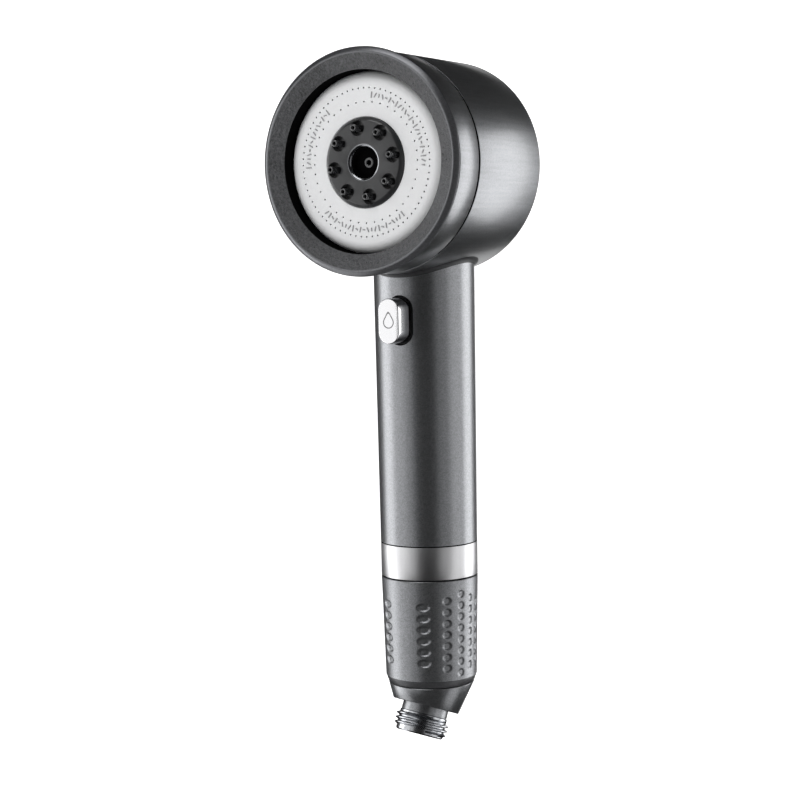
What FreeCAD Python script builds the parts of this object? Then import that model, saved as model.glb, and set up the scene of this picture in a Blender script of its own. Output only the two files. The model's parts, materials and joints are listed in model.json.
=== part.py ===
import FreeCAD, Part
import math
import os
import re
import Sketcher

# A handheld shower head: a drum with a turning spray face, a handle with a stop button,
# and a lower grip that holds a filter and a swivelling inlet elbow with a G1/2 thread.
# Millimetres. +Z is up the handle's axis and -Y is the way the spray leaves.
# The origin is on the handle's axis, at the seam between the handle and the trim ring.
# Lengths along Y are places (front is negative); lengths along Z are heights.

SIZES = (
    # the drum, whose axis crosses the handle's at a right angle
    ("head_height", 144.0), ("drum_radius", 40.6), ("drum_wall", 2.4),
    ("drum_back", 20.2), ("back_wall", 2.5), ("back_edge", 1.2),
    ("housing_front", -29.2), ("seam_gap", 0.5), ("collar_front", -44.5),
    ("collar_lip", 1.6), ("boss_radius", 5.0), ("boss_circle", 33.4), ("boss_length", 12.0),
    # the turning face
    ("rim_crest", -47.0), ("rim_overhang", 0.7), ("rim_edge_width", 1.7), ("rim_edge_depth", 1.2),
    ("crest_width", 0.6), ("dish_depth", 2.5), ("plate_depth", 5.5), ("plate_radius", 33.2),
    ("plate_lap", 1.9), ("plate_thickness", 1.5), ("plate_border", 4.8), ("plate_crown", 4.2),
    ("skirt_fit", 0.08),
    ("insert_radius", 16.4), ("insert_bevel", 1.3), ("insert_proud", 1.4),
    ("insert_flange", 2.0), ("flange_thickness", 1.2),
    ("pit_radius", 2.85), ("pit_depth", 3.0), ("nozzle_circle", 12.6), ("nozzle_turn", 10.4),
    ("nozzle_radius", 1.25), ("nozzle_bore", 0.65), ("nozzle_reach", 4.4),
    ("mouth_radius", 5.2), ("mouth_flare", 1.5), ("mouth_depth", 2.4), ("mat_thickness", 1.2),
    ("outer_hole_circle", 26.85), ("inner_hole_circle", 21.85), ("spray_hole", 0.34),
    # the diverter behind the face
    ("disc_front", -35.5), ("disc_thickness", 2.0), ("disc_gap", 0.3), ("seat_thickness", 3.7),
    ("inner_port_circle", 14.0), ("outer_port_circle", 24.5), ("port_radius", 3.4),
    ("seal_wall", 1.2), ("seal_depth", 2.0), ("seal_gap", 0.06),
    ("jet_radius", 1.95), ("jet_bore", 0.9), ("jet_tip", -39.0), ("jet_head_radius", 4.4),
    ("jet_head_front", -37.3), ("jet_shank", 2.95), ("jet_stem", 2.5), ("hub_radius", 6.0),
    ("hub_back", -24.0), ("detent_circle", 24.0), ("ball_radius", 1.5), ("ball_drop", 0.7),
    ("detent_pocket_back", -27.6),
    # the manifold
    ("flange_front", -27.0), ("flange_back", -24.0), ("cup_radius", 30.3),
    ("cup_wall", 1.8), ("chamber_radius", 24.0), ("chamber_back", -19.0), ("chamber_wall", 2.0),
    ("spigot_radius", 8.4), ("spigot_back", -13.0), ("screw_radius", 1.45), ("screw_head", 2.6),
    ("screw_head_thickness", 1.6), ("screw_length", 11.0),
    # the handle
    ("handle_radius", 18.7), ("handle_taper", 0.0065), ("handle_wall", 2.6),
    ("button_height", 85.8), ("button_width", 8.8), ("button_tall", 17.0), ("button_stand", 8.2),
    ("button_wall", 1.2), ("button_depth", 11.7), ("button_gap", 1.0), ("button_travel", 3.0),
    ("button_clear", 0.3), ("bezel_sink", 1.1), ("post_radius", 2.2),
    ("valve_radius", 9.5), ("valve_half", 14.0), ("valve_front", -12.4), ("valve_bore_back", 6.5),
    ("spool_bore", 4.05), ("spool_fit", 0.05), ("spool_waist", 1.8), ("valve_port", 1.4),
    ("tube_radius", 6.0), ("tube_wall", 1.5), ("socket_depth", 6.0), ("socket_fit", 0.05),
    ("ring_wire", 0.5), ("bend_radius", 12.0),
    # the trim ring and the coupling inside it
    ("trim_length", 13.2), ("coupling_top", 12.0), ("coupling_fit", 0.05),
    ("thread_radius", 15.0), ("thread_fit", 0.05), ("thread_length", 9.8), ("coupling_floor", -13.2),
    # the lower grip and its filter
    ("grip_gap", 0.3), ("grip_bottom", -52.3), ("grip_bottom_radius", 17.7), ("grip_floor", 3.3),
    ("end_ring_height", 2.7), ("end_ring_radius", 16.7), ("filter_radius", 14.2),
    ("filter_top", -25.0), ("filter_bottom", -46.5), ("filter_cap", 2.0), ("filter_core_bore", 4.0),
    ("sleeve_wall", 1.0),
    # the inlet elbow
    ("stub_radius", 10.5), ("stub_fit", 0.08), ("stub_top", -47.4), ("stub_bore", 6.2),
    ("elbow_gap", 0.3), ("pivot_height", -56.5), ("inlet_tilt", 21.0), ("inlet_swing", 18.0),
    ("elbow_reach", 9.3), ("elbow_radius", 13.0), ("neck_radius", 9.0), ("neck_length", 3.4),
    ("inlet_reach", 20.5), ("thread_outer", 10.478), ("thread_pitch", 1.814), ("thread_depth", 1.1),
    ("thread_crest", 0.4), ("inlet_bore", 7.0), ("screen_seat", 9.0), ("screen_thickness", 0.8),
    ("screen_step", 0.4),
)
NOZZLES = 8
SCREWS = 4
THREAD_CRESTS = 4
OUTER_HOLES = 72
INNER_HOLES = 40

doc = FreeCAD.newDocument("HandShower")
sizes = doc.addObject("Spreadsheet::Sheet", "Sizes")
for row, (alias, number) in enumerate(SIZES, 1):
    sizes.set(f"A{row}", alias)
    sizes.set(f"B{row}", str(number))
    sizes.setAlias(f"B{row}", alias)
doc.recompute()

ALIASES = {alias for alias, number in SIZES}
PIECES = []


def bound(expression):
    """Spell a formula of size names as the document's expressions do."""
    def spell(word):
        return "Sizes." + word.group(0) if word.group(0) in ALIASES else word.group(0)
    return re.sub(r"[a-z_]+", spell, str(expression))


def value(expression):
    """Work out a formula of size names."""
    return float(sizes.evalExpression(bound(expression)))


def bind(piece, **formulas):
    """Bind properties of one object to formulas; __ in a name stands for a dot."""
    for name, formula in formulas.items():
        piece.setExpression(name.replace("__", "."), bound(formula))


def place(piece, x="0", y="0", z="0"):
    bind(piece, Placement__Base__x=x, Placement__Base__y=y, Placement__Base__z=z)


def keep(piece, label):
    """Name one sub-part and list it for export."""
    piece.Label = label
    PIECES.append(piece)
    return piece


# ---- sketches and features -------------------------------------------------------------

def new_body(name):
    body = doc.addObject("PartDesign::Body", name)
    doc.recompute()
    return body


def new_sketch(body, name, role, offset=None):
    """A sketch on one origin plane of its body, moved along that plane's normal."""
    plane = [feature for feature in body.Origin.OriginFeatures if feature.Role == role][0]
    sketch = body.newObject("Sketcher::SketchObject", name)
    sketch.AttachmentSupport = [(plane, "")]
    sketch.MapMode = "FlatFace"
    if offset:
        bind(sketch, AttachmentOffset__Base__z=offset)
    return sketch


def pin(sketch, item, point, x, y):
    """Tie one point of a sketch to formulas for its place."""
    for kind, formula in (("DistanceX", x), ("DistanceY", y)):
        number = sketch.addConstraint(Sketcher.Constraint(kind, -1, 1, item, point, value(formula)))
        sketch.setExpression(f"Constraints[{number}]", bound(formula))


def outline(sketch, corners):
    """A closed outline of straight edges through corners given as formulas."""
    places = [FreeCAD.Vector(value(x), value(y), 0) for x, y in corners]
    count = len(places)
    for index in range(count):
        sketch.addGeometry(Part.LineSegment(places[index], places[(index + 1) % count]), False)
    for index in range(count):
        sketch.addConstraint(Sketcher.Constraint("Coincident", index, 2, (index + 1) % count, 1))
    for index, (x, y) in enumerate(corners):
        pin(sketch, index, 1, x, y)


def circles(sketch, centres, radius):
    """Circles of one radius about centres given as formulas."""
    for index, (x, y) in enumerate(centres):
        centre = FreeCAD.Vector(value(x), value(y), 0)
        sketch.addGeometry(Part.Circle(centre, FreeCAD.Vector(0, 0, 1), value(radius)), False)
        pin(sketch, index, 3, x, y)
        number = sketch.addConstraint(Sketcher.Constraint("Radius", index, value(radius)))
        sketch.setExpression(f"Constraints[{number}]", bound(radius))


def around(count, radius, first="90"):
    """Centres spaced evenly on a circle, from an angle in degrees."""
    centres = []
    for index in range(count):
        angle = f"({first} + {360.0 * index / count}) * 1 deg"
        centres.append((f"({radius}) * cos({angle})", f"({radius}) * sin({angle})"))
    return centres


def turned(name, axis, corners):
    """A body of revolution about Y (the drum's axis) or Z (the handle's).

    Corners are (radius, place along the axis)."""
    body = new_body(name)
    about_y = axis == "Y"
    sketch = new_sketch(body, name + "_outline", "YZ_Plane" if about_y else "XZ_Plane")
    outline(sketch, [(along, radius) if about_y else (radius, along) for radius, along in corners])
    turn = body.newObject("PartDesign::Revolution", name + "_turn")
    turn.Profile = sketch
    turn.ReferenceAxis = (sketch, ["H_Axis" if about_y else "V_Axis"])
    turn.Angle = 360
    body.Tip = turn
    if about_y:
        place(body, z="head_height")
    doc.recompute()
    return body


def feature(body, kind, name, centres, radius, start, length):
    """Round pockets or pads along the drum's axis, from a place on it towards the back."""
    sketch = new_sketch(body, name + "_sketch", "XZ_Plane", f"-({start})")
    circles(sketch, centres, radius)
    step = body.newObject("PartDesign::" + kind, name)
    step.Profile = sketch
    bind(step, Length=length)
    step.Reversed = kind == "Pad"
    before = body.Shape.Volume
    body.Tip = step
    doc.recompute()
    grew = body.Shape.Volume - before
    if (grew > 0) != (kind == "Pad") or grew == 0:
        raise RuntimeError(f"{name} changes nothing")
    return step


def polar(body, name, step, count):
    """Repeat a feature about the drum's axis."""
    pattern = body.newObject("PartDesign::PolarPattern", name)
    pattern.Originals = [step]
    axis = [item for item in body.Origin.OriginFeatures if item.Role == "Y_Axis"][0]
    pattern.Axis = (axis, [""])
    pattern.Angle = 360
    pattern.Occurrences = count
    body.Tip = pattern
    doc.recompute()
    return pattern


# ---- primitives and booleans -----------------------------------------------------------

BACKWARD = FreeCAD.Rotation(FreeCAD.Vector(1, 0, 0), -90)


def rod(name, radius, length, x="0", y="0", z="0", back=False):
    """A cylinder standing on its place, up Z or back along Y."""
    solid = doc.addObject("Part::Cylinder", name)
    if back:
        solid.Placement = FreeCAD.Placement(FreeCAD.Vector(), BACKWARD)
    bind(solid, Radius=radius, Height=length)
    place(solid, x, y, z)
    return solid


def stadium(name, width, tall, front, back):
    """A block with round ends at the button's height, between two places on Y."""
    middle = doc.addObject("Part::Box", name + "_middle")
    bind(middle, Length=width, Width=f"({back}) - ({front})", Height=f"({tall}) - ({width})")
    place(middle, f"-({width}) / 2", front, f"button_height - (({tall}) - ({width})) / 2")
    ends = []
    for side, sign in (("top", "+"), ("low", "-")):
        height = f"button_height {sign} (({tall}) - ({width})) / 2"
        length = f"({back}) - ({front})"
        ends.append(rod(f"{name}_{side}", f"({width}) / 2", length, "0", front, height, True))
    return fuse(name, [middle] + ends)


def fuse(name, parts):
    joined = doc.addObject("Part::MultiFuse", name)
    joined.Shapes = parts
    return joined


def cut(name, base, tools):
    """Take one tool, or several joined, from a base."""
    tool = tools[0] if len(tools) == 1 else fuse(name + "_tools", tools)
    rest = doc.addObject("Part::Cut", name)
    rest.Base = base
    rest.Tool = tool
    return rest


def ring(name, centre_radius, wire, y="0", z="0", back=False):
    """A round seal about the handle's axis, or about a line along Y."""
    seal = doc.addObject("Part::Torus", name)
    if back:
        seal.Placement = FreeCAD.Placement(FreeCAD.Vector(), BACKWARD)
    bind(seal, Radius1=centre_radius, Radius2=wire)
    place(seal, "0", y, z)
    return seal


def coil(name, mean_radius, wire, length, turns, start, height):
    """A coil spring along Y from a start place, with its sizes read from the sheet."""
    run = length - 2 * wire
    helix = Part.makeLongHelix(run / turns, run, mean_radius)
    section = Part.Wire(Part.makeCircle(wire, FreeCAD.Vector(mean_radius, 0, 0), FreeCAD.Vector(0, 1, 0)))
    spring = doc.addObject("Part::Feature", name)
    spring.Shape = Part.Wire(helix.Edges).makePipeShell([section], True, True)
    spring.Placement = FreeCAD.Placement(FreeCAD.Vector(0, start + wire, height), BACKWARD)
    return spring


# ---- the housing: drum barrel and handle in one moulding -----------------------------------

DRUM_BORE = "drum_radius - drum_wall"
FLANGE_OUT = f"({DRUM_BORE} - 0.2)"
BOSSES = around(SCREWS, "boss_circle", "45")


def make_housing():
    barrel = turned("barrel", "Y", (
        ("0", "housing_front"), ("drum_radius", "housing_front"),
        ("drum_radius", "drum_back - back_edge"), ("drum_radius - back_edge", "drum_back"),
        ("0", "drum_back")))
    handle = doc.addObject("Part::Cone", "handle_outside")
    handle_top = "(head_height - drum_radius / 2)"
    bind(handle, Radius1="handle_radius", Radius2=f"handle_radius + handle_taper * {handle_top}",
         Height=handle_top)
    outside = fuse("housing_outside", [barrel, handle])
    bore = rod("barrel_bore", DRUM_BORE, "drum_back - back_wall - housing_front + 1",
               "0", "housing_front - 1", "head_height", True)
    passage = doc.addObject("Part::Cone", "handle_bore")
    bind(passage, Radius1="handle_radius - handle_wall",
         Radius2=f"handle_radius - handle_wall + handle_taper * {handle_top}", Height=handle_top)
    window = stadium("button_window", "button_width + 2 * button_gap", "button_tall + 2 * button_gap",
                     "-2 * handle_radius", "-handle_radius / 2")
    shell = cut("housing_shell", outside, [bore, passage, window])
    bosses = []
    holes = []
    for index, (x, z) in enumerate(BOSSES):
        height = f"head_height + {z}"
        bosses.append(rod(f"boss_{index}", "boss_radius", "boss_length", x, "flange_back", height, True))
        holes.append(rod(f"boss_hole_{index}", "screw_radius + socket_fit", "screw_length - 1",
                         x, "flange_back - 0.5", height, True))
    keep(cut("housing", fuse("housing_with_bosses", [shell] + bosses), holes), "housing")


def make_collar():
    spigot_out = f"{DRUM_BORE} - 0.1"
    spigot_in = f"{DRUM_BORE} - 0.1 - collar_lip"
    back = "housing_front - seam_gap"
    keep(turned("front_collar", "Y", (
        (spigot_out, "collar_front"), ("drum_radius", "collar_front"), ("drum_radius", back),
        (spigot_out, back), (spigot_out, "flange_front"), (spigot_in, "flange_front"),
        (spigot_in, f"{back} - 1.1"), (spigot_out, f"{back} - 1.1"))), "front_collar")


# ---- the turning face ----------------------------------------------------------------------

PLATE_FRONT = "(rim_crest + plate_depth)"
PLATE_BACK = "(rim_crest + plate_depth + plate_thickness)"
PLATE_OUT = "(plate_radius + plate_lap)"
SKIRT_IN = "(plate_radius + plate_lap + 0.1)"
SKIRT_OUT = f"({DRUM_BORE} - 0.1 - skirt_fit)"
RIM_OUT = "(drum_radius + rim_overhang)"
BORDER_FRONT = "(rim_crest + plate_depth + plate_crown)"
BORDER_BACK = "(rim_crest + plate_depth + plate_crown + 1.2)"
INSERT_FRONT = "(rim_crest + plate_depth - insert_proud)"
INSERT_BACK = "(rim_crest + plate_depth + plate_thickness + flange_thickness)"
DISC_BACK = "(disc_front + disc_thickness)"
SEAT_FRONT = "(disc_front + disc_thickness + disc_gap)"
SEAT_BACK = "(disc_front + disc_thickness + disc_gap + seat_thickness)"
CHAMBER_WALL_IN = "(insert_radius + insert_flange + 0.4)"
NOZZLE_PLACES = around(NOZZLES, "nozzle_circle", "90 + nozzle_turn")


def make_dial_ring():
    land = "collar_front - seam_gap"
    crest_out = f"{RIM_OUT} - rim_edge_width"
    keep(turned("dial_ring", "Y", (
        (f"{crest_out} - crest_width", "rim_crest"), (crest_out, "rim_crest"),
        (RIM_OUT, "rim_crest + rim_edge_depth"), (RIM_OUT, land), (SKIRT_OUT, land),
        (SKIRT_OUT, "housing_front - 2"), (SKIRT_IN, "housing_front - 2"), (SKIRT_IN, BORDER_FRONT),
        ("plate_radius", BORDER_FRONT), ("plate_radius", "rim_crest + dish_depth"))), "dial_ring")


def make_spray_plate():
    outline = [("insert_radius + 0.1", PLATE_FRONT)]
    inside = []
    for degrees in (0, 20, 40, 60, 80):
        across = math.sin(math.radians(degrees))
        down = 1 - math.cos(math.radians(degrees))
        radius = f"plate_radius - plate_border + (plate_border - 0.1) * {across:.4f}"
        outline.append((radius, f"{PLATE_FRONT} + plate_crown * {down:.4f}"))
        inside.insert(0, (f"{radius} - 1.2", f"{PLATE_BACK} + plate_crown * {down:.4f}"))
    outline += [("plate_radius - 0.1", BORDER_FRONT), (PLATE_OUT, BORDER_FRONT), (PLATE_OUT, BORDER_BACK),
                ("plate_radius - 1.4", BORDER_BACK)]
    plate = turned("spray_plate", "Y", outline + inside + [("insert_radius + 0.1", PLATE_BACK)])
    for name, circle, count in (("outer", "outer_hole_circle", OUTER_HOLES),
                                ("inner", "inner_hole_circle", INNER_HOLES)):
        hole = feature(plate, "Pocket", name + "_hole", [("0", circle)], "spray_hole",
                       f"{PLATE_FRONT} - 0.5", "plate_thickness + 1")
        polar(plate, name + "_holes", hole, count)
    keep(plate, "spray_plate")


def make_nozzle_insert():
    insert = turned("nozzle_insert", "Y", (
        ("mouth_radius + mouth_flare", INSERT_FRONT), ("insert_radius - insert_bevel", INSERT_FRONT),
        ("insert_radius", f"{INSERT_FRONT} + insert_bevel * 0.9"),
        ("insert_radius", PLATE_BACK), ("insert_radius + insert_flange", PLATE_BACK),
        ("insert_radius + insert_flange", INSERT_BACK), ("mouth_radius", INSERT_BACK),
        ("mouth_radius", f"{INSERT_FRONT} + mouth_depth")))
    feature(insert, "Pocket", "pits", NOZZLE_PLACES, "pit_radius", f"{INSERT_FRONT} - 0.5",
            "pit_depth + 0.5")
    feature(insert, "Pocket", "nozzle_holes", NOZZLE_PLACES, "nozzle_radius + socket_fit",
            f"{INSERT_FRONT} - 1", f"{INSERT_BACK} - {INSERT_FRONT} + 2")
    keep(insert, "nozzle_insert")


def make_nozzle_mat():
    mat = turned("nozzle_mat", "Y", (
        ("jet_radius + 0.1", INSERT_BACK), ("insert_radius + insert_flange - 0.6", INSERT_BACK),
        ("insert_radius + insert_flange - 0.6", f"{INSERT_BACK} + mat_thickness"),
        ("jet_radius + 0.1", f"{INSERT_BACK} + mat_thickness")))
    tip = f"({PLATE_FRONT} - nozzle_reach)"
    feature(mat, "Pad", "nozzles", NOZZLE_PLACES, "nozzle_radius", tip, f"{INSERT_BACK} - {tip} + 0.5")
    feature(mat, "Pocket", "nozzle_bores", NOZZLE_PLACES, "nozzle_bore", f"{tip} - 1",
            f"{INSERT_BACK} - {tip} + mat_thickness + 2")
    keep(mat, "nozzle_mat")


def make_diverter_disc():
    out = f"({PLATE_OUT} - 0.2)"
    wall_out = f"({CHAMBER_WALL_IN} + 1.6)"
    hub = "jet_shank + socket_fit"
    disc = turned("diverter_disc", "Y", (
        (hub, "disc_front"), (CHAMBER_WALL_IN, "disc_front"), (CHAMBER_WALL_IN, PLATE_BACK),
        (wall_out, PLATE_BACK), (wall_out, "disc_front"), (f"{out} - 1.6", "disc_front"),
        (f"{out} - 1.6", BORDER_BACK), (out, BORDER_BACK), (out, DISC_BACK), (hub, DISC_BACK)))
    windows = []
    for angle, circle in (("90", "inner_port_circle"), ("210", "outer_port_circle"),
                          ("330", "inner_port_circle"), ("330", "outer_port_circle")):
        windows += around(1, circle, angle)
    feature(disc, "Pocket", "windows", windows, "port_radius", "disc_front - 0.5", "disc_thickness + 1")
    feature(disc, "Pocket", "detent_pits", around(3, "detent_circle", "270"), "ball_radius + 0.2",
            f"{DISC_BACK} - ball_drop - 0.15", "ball_drop + 1")
    keep(disc, "diverter_disc")


# ---- the fixed parts behind the face -------------------------------------------------------

def make_valve_seat():
    rim = f"({SKIRT_IN} - 1.2)"
    floor = f"({SKIRT_IN} - 1.9)"
    groove = f"({SEAT_FRONT} + 0.8)"
    bore = "jet_stem + socket_fit"
    seat = turned("valve_seat", "Y", (
        (bore, SEAT_FRONT), (rim, SEAT_FRONT), (rim, groove), (floor, groove),
        (floor, f"{groove} + 2"), (rim, f"{groove} + 2"), (rim, SEAT_BACK),
        ("hub_radius", SEAT_BACK), ("hub_radius", "hub_back"), (bore, "hub_back")))
    feature(seat, "Pad", "detent_boss", around(1, "detent_circle", "270"), "ball_radius + 1.2",
            f"{SEAT_BACK} - 1", f"flange_front - 0.2 - {SEAT_BACK} + 1")
    ports = around(1, "inner_port_circle") + around(1, "outer_port_circle")
    feature(seat, "Pocket", "ports", ports, "port_radius", f"{SEAT_FRONT} - 1", "seat_thickness + 2")
    feature(seat, "Pocket", "seal_seats", ports, "port_radius + seal_wall + socket_fit",
            f"{SEAT_FRONT} - 1", "seal_depth + 1")
    feature(seat, "Pocket", "detent_pocket", around(1, "detent_circle", "270"), "ball_radius + 0.05",
            f"{SEAT_FRONT} - 1", f"detent_pocket_back - {SEAT_FRONT} + 1")
    keep(seat, "valve_seat")
    face = f"({DISC_BACK} + seal_gap)"
    seals = []
    for name, circle in (("inner", "inner_port_circle"), ("outer", "outer_port_circle")):
        height = f"head_height + {circle}"
        length = f"{SEAT_FRONT} + seal_depth - {face}"
        disc = rod(f"{name}_seal_outside", "port_radius + seal_wall", length, "0", face, height, True)
        hole = rod(f"{name}_seal_hole", "port_radius", length, "0", face, height, True)
        seals.append(cut(f"{name}_seal", disc, [hole]))
    keep(fuse("port_seals", seals), "port_seals")
    keep(ring("dial_oring", f"{SKIRT_IN} - 0.99", "0.9", f"{groove} + 1", "head_height", True), "dial_oring")


def make_detent():
    front = f"({DISC_BACK} + 0.05)"
    height = "head_height - detent_circle"
    ball = doc.addObject("Part::Sphere", "detent_ball")
    bind(ball, Radius="ball_radius")
    place(ball, "0", f"{front} + ball_radius", height)
    keep(ball, "detent_ball")
    start = value(f"{front} + 2 * ball_radius")
    keep(coil("detent_spring", value("ball_radius") - 0.4, 0.2, value("detent_pocket_back") - start,
              3, start, value(height)), "detent_spring")


def make_centre_jet():
    bore_end = "(disc_front - 1)"
    jet = turned("centre_jet", "Y", (
        ("jet_bore", "jet_tip"), ("jet_radius", "jet_tip"), ("jet_radius", "jet_head_front"),
        ("jet_head_radius", "jet_head_front"), ("jet_head_radius", "disc_front - 0.1"),
        ("jet_shank", "disc_front - 0.1"), ("jet_shank", SEAT_FRONT), ("jet_stem", SEAT_FRONT),
        ("jet_stem", "hub_back - 0.5"), ("0", "hub_back - 0.5"), ("0", bore_end),
        ("jet_bore", bore_end)))
    sketch = new_sketch(jet, "cross_hole_sketch", "YZ_Plane")
    circles(sketch, [(f"{bore_end} - 0.1", "0")], "jet_bore / 2")
    hole = jet.newObject("PartDesign::Pocket", "cross_hole")
    hole.Profile = sketch
    hole.Type = "ThroughAll"
    hole.Midplane = True
    before = jet.Shape.Volume
    jet.Tip = hole
    doc.recompute()
    if jet.Shape.Volume >= before:
        raise RuntimeError("cross_hole changes nothing")
    keep(jet, "centre_jet")


def make_manifold():
    chamber_in = "(chamber_radius - chamber_wall)"
    cup_in = "(cup_radius - cup_wall)"
    socket = "(tube_radius + socket_fit)"
    bore = "(tube_radius - tube_wall)"
    stop = "(spigot_back - socket_depth)"
    mouth = "(tube_radius + 2 * ring_wire)"
    manifold = turned("manifold", "Y", (
        (cup_in, SEAT_BACK), ("cup_radius", SEAT_BACK), ("cup_radius", "flange_front"),
        (FLANGE_OUT, "flange_front"), (FLANGE_OUT, "flange_back"),
        ("chamber_radius", "flange_back"), ("chamber_radius", "chamber_back"),
        ("spigot_radius", "chamber_back"), ("spigot_radius", "spigot_back"), (mouth, "spigot_back"),
        (mouth, "spigot_back - 2 * ring_wire"), (socket, "spigot_back - 2 * ring_wire"),
        (socket, stop), (bore, stop), (bore, "chamber_back - chamber_wall"),
        (chamber_in, "chamber_back - chamber_wall"), (chamber_in, "flange_front"),
        (cup_in, "flange_front")))
    feature(manifold, "Pocket", "screw_holes", BOSSES, "screw_radius + 0.15", "flange_front - 1",
            "flange_back - flange_front + 2")
    keep(manifold, "manifold")
    screws = []
    for index, (x, z) in enumerate(BOSSES):
        height = f"head_height + {z}"
        head = rod(f"screw_head_{index}", "screw_head", "screw_head_thickness", x,
                   "flange_front - screw_head_thickness", height, True)
        shank = rod(f"screw_shank_{index}", "screw_radius", "screw_length", x, "flange_front", height, True)
        screws.append(fuse(f"screw_{index}", [head, shank]))
    keep(fuse("manifold_screws", screws), "manifold_screws")


# ---- the water way up the handle -----------------------------------------------------------

VALVE_LOW = "(button_height - valve_half)"
VALVE_HIGH = "(button_height + valve_half)"
LOWER_TUBE_FOOT = "(coupling_top - socket_depth)"


def tube_piece(name, path, height):
    """A water tube: its bore cut from its outside, both swept along one path."""
    solids = []
    for radius in (value("tube_radius"), value("tube_radius - tube_wall")):
        start = path.Vertexes[0].Point
        section = Part.Wire(Part.makeCircle(radius, start, FreeCAD.Vector(0, 0, 1)))
        solids.append(path.makePipeShell([section], True, False))
    piece = doc.addObject("Part::Feature", name)
    piece.Shape = solids[0].cut(solids[1])
    piece.Placement = FreeCAD.Placement(FreeCAD.Vector(0, 0, height), FreeCAD.Rotation())
    return piece


def make_water_way():
    foot = value(LOWER_TUBE_FOOT)
    top = value(f"{VALVE_LOW} + socket_depth")
    straight = Part.Wire(Part.makeLine(FreeCAD.Vector(), FreeCAD.Vector(0, 0, top - foot)))
    keep(tube_piece("lower_tube", straight, foot), "lower_tube")
    start = value(f"{VALVE_HIGH} - socket_depth")
    rise = value("head_height") - start
    bend = value("bend_radius")
    end = value("spigot_back - socket_depth")
    half_turn = math.pi / 4
    middle = FreeCAD.Vector(0, bend * (math.cos(half_turn) - 1), rise - bend + bend * math.sin(half_turn))
    corner_low = FreeCAD.Vector(0, 0, rise - bend)
    corner_high = FreeCAD.Vector(0, -bend, rise)
    edges = [
        Part.makeLine(FreeCAD.Vector(), corner_low),
        Part.Arc(corner_low, middle, corner_high).toShape(),
        Part.makeLine(corner_high, FreeCAD.Vector(0, end, rise)),
    ]
    keep(tube_piece("upper_tube", Part.Wire(edges), start), "upper_tube")
    seals = [ring("spigot_seal", "tube_radius + ring_wire", "ring_wire",
                  "spigot_back - ring_wire", "head_height", True)]
    for name, height in (("coupling_seal", "coupling_top - ring_wire"),
                         ("valve_low_seal", f"{VALVE_LOW} + ring_wire"),
                         ("valve_high_seal", f"{VALVE_HIGH} - ring_wire")):
        seals.append(ring(name, "tube_radius + ring_wire", "ring_wire", "0", height))
    keep(fuse("tube_orings", seals), "tube_orings")


def make_stop_valve():
    body = rod("valve_column", "valve_radius", "2 * valve_half", "0", "0", VALVE_LOW)
    nose = rod("valve_nose", "spool_bore + 2.4", "-valve_front", "0", "valve_front", "button_height", True)
    flange = stadium("valve_flange", "button_width + 2 * button_gap + 1",
                     "button_tall + 2 * button_gap + 1", "valve_front", "valve_front + 2")
    tools = [
        rod("spool_passage", "spool_bore", "valve_bore_back - valve_front", "0", "valve_front",
            "button_height", True),
        rod("water_port", "valve_port", "2 * valve_half", "0", "0", VALVE_LOW),
        rod("low_socket", "tube_radius + socket_fit", "socket_depth", "0", "0", VALVE_LOW),
        rod("high_socket", "tube_radius + socket_fit", "socket_depth", "0", "0",
            f"{VALVE_HIGH} - socket_depth"),
        rod("low_mouth", "tube_radius + 2 * ring_wire", "2 * ring_wire", "0", "0", VALVE_LOW),
        rod("high_mouth", "tube_radius + 2 * ring_wire", "2 * ring_wire", "0", "0",
            f"{VALVE_HIGH} - 2 * ring_wire"),
    ]
    keep(cut("stop_valve_body", fuse("valve_outside", [body, nose, flange]), tools), "stop_valve_body")


FACE = "(-handle_radius - handle_taper * button_height - button_stand)"
BEZEL_FRONT = "(bezel_sink - handle_radius)"
SKIRT_END = f"({FACE} + button_depth)"


def make_button():
    cap = stadium("button_outside", "button_width", "button_tall", FACE, SKIRT_END)
    hollow = stadium("button_hollow", "button_width - 2 * button_wall", "button_tall - 2 * button_wall",
                     f"{FACE} + button_wall", SKIRT_END)
    post = rod("button_post", "post_radius", f"button_depth - button_wall / 2", "0",
               f"{FACE} + button_wall / 2", "button_height", True)
    keep(fuse("button", [cut("button_cap", cap, [hollow]), post]), "button")
    frame = stadium("bezel_outside", "button_width + 2 * button_gap", "button_tall + 2 * button_gap",
                    BEZEL_FRONT, "valve_front")
    opening = stadium("bezel_opening", "button_width + 2 * button_clear", "button_tall + 2 * button_clear",
                      BEZEL_FRONT, "valve_front")
    keep(cut("button_bezel", frame, [opening]), "button_bezel")
    land = "spool_bore - spool_fit"
    floor = "(spool_bore - 1.4)"
    corners = [("0", SKIRT_END), ("post_radius", SKIRT_END), ("post_radius", "valve_front + 2.4"),
               (land, "valve_front + 2.4")]
    spool_end = "valve_bore_back - button_travel - 0.3"
    for groove in ("valve_front + 4", "valve_front + 8"):
        corners += [(land, groove), (floor, groove), (floor, f"{groove} + 1.5"), (land, f"{groove} + 1.5")]
    corners += [(land, "-valve_port - 0.1"), ("spool_waist", "-valve_port - 0.1"),
                ("spool_waist", "valve_port + 0.3"), (land, "valve_port + 0.3"),
                (land, spool_end), ("0", spool_end)]
    spool = turned("valve_spool", "Y", corners)
    place(spool, z="button_height")
    keep(spool, "valve_spool")
    seals = []
    for name, groove in (("front_spool_seal", "valve_front + 4"), ("rear_spool_seal", "valve_front + 8")):
        seals.append(ring(name, "spool_bore - 0.72", "0.68", f"{groove} + 0.75", "button_height", True))
    keep(fuse("spool_orings", seals), "spool_orings")
    start = value(f"{FACE} + button_wall")
    keep(coil("button_spring", 2.8, 0.3, value("valve_front") - start, 7, start, value("button_height")),
         "button_spring")


# ---- trim ring, coupling, grip and filter ----------------------------------------------------

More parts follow.
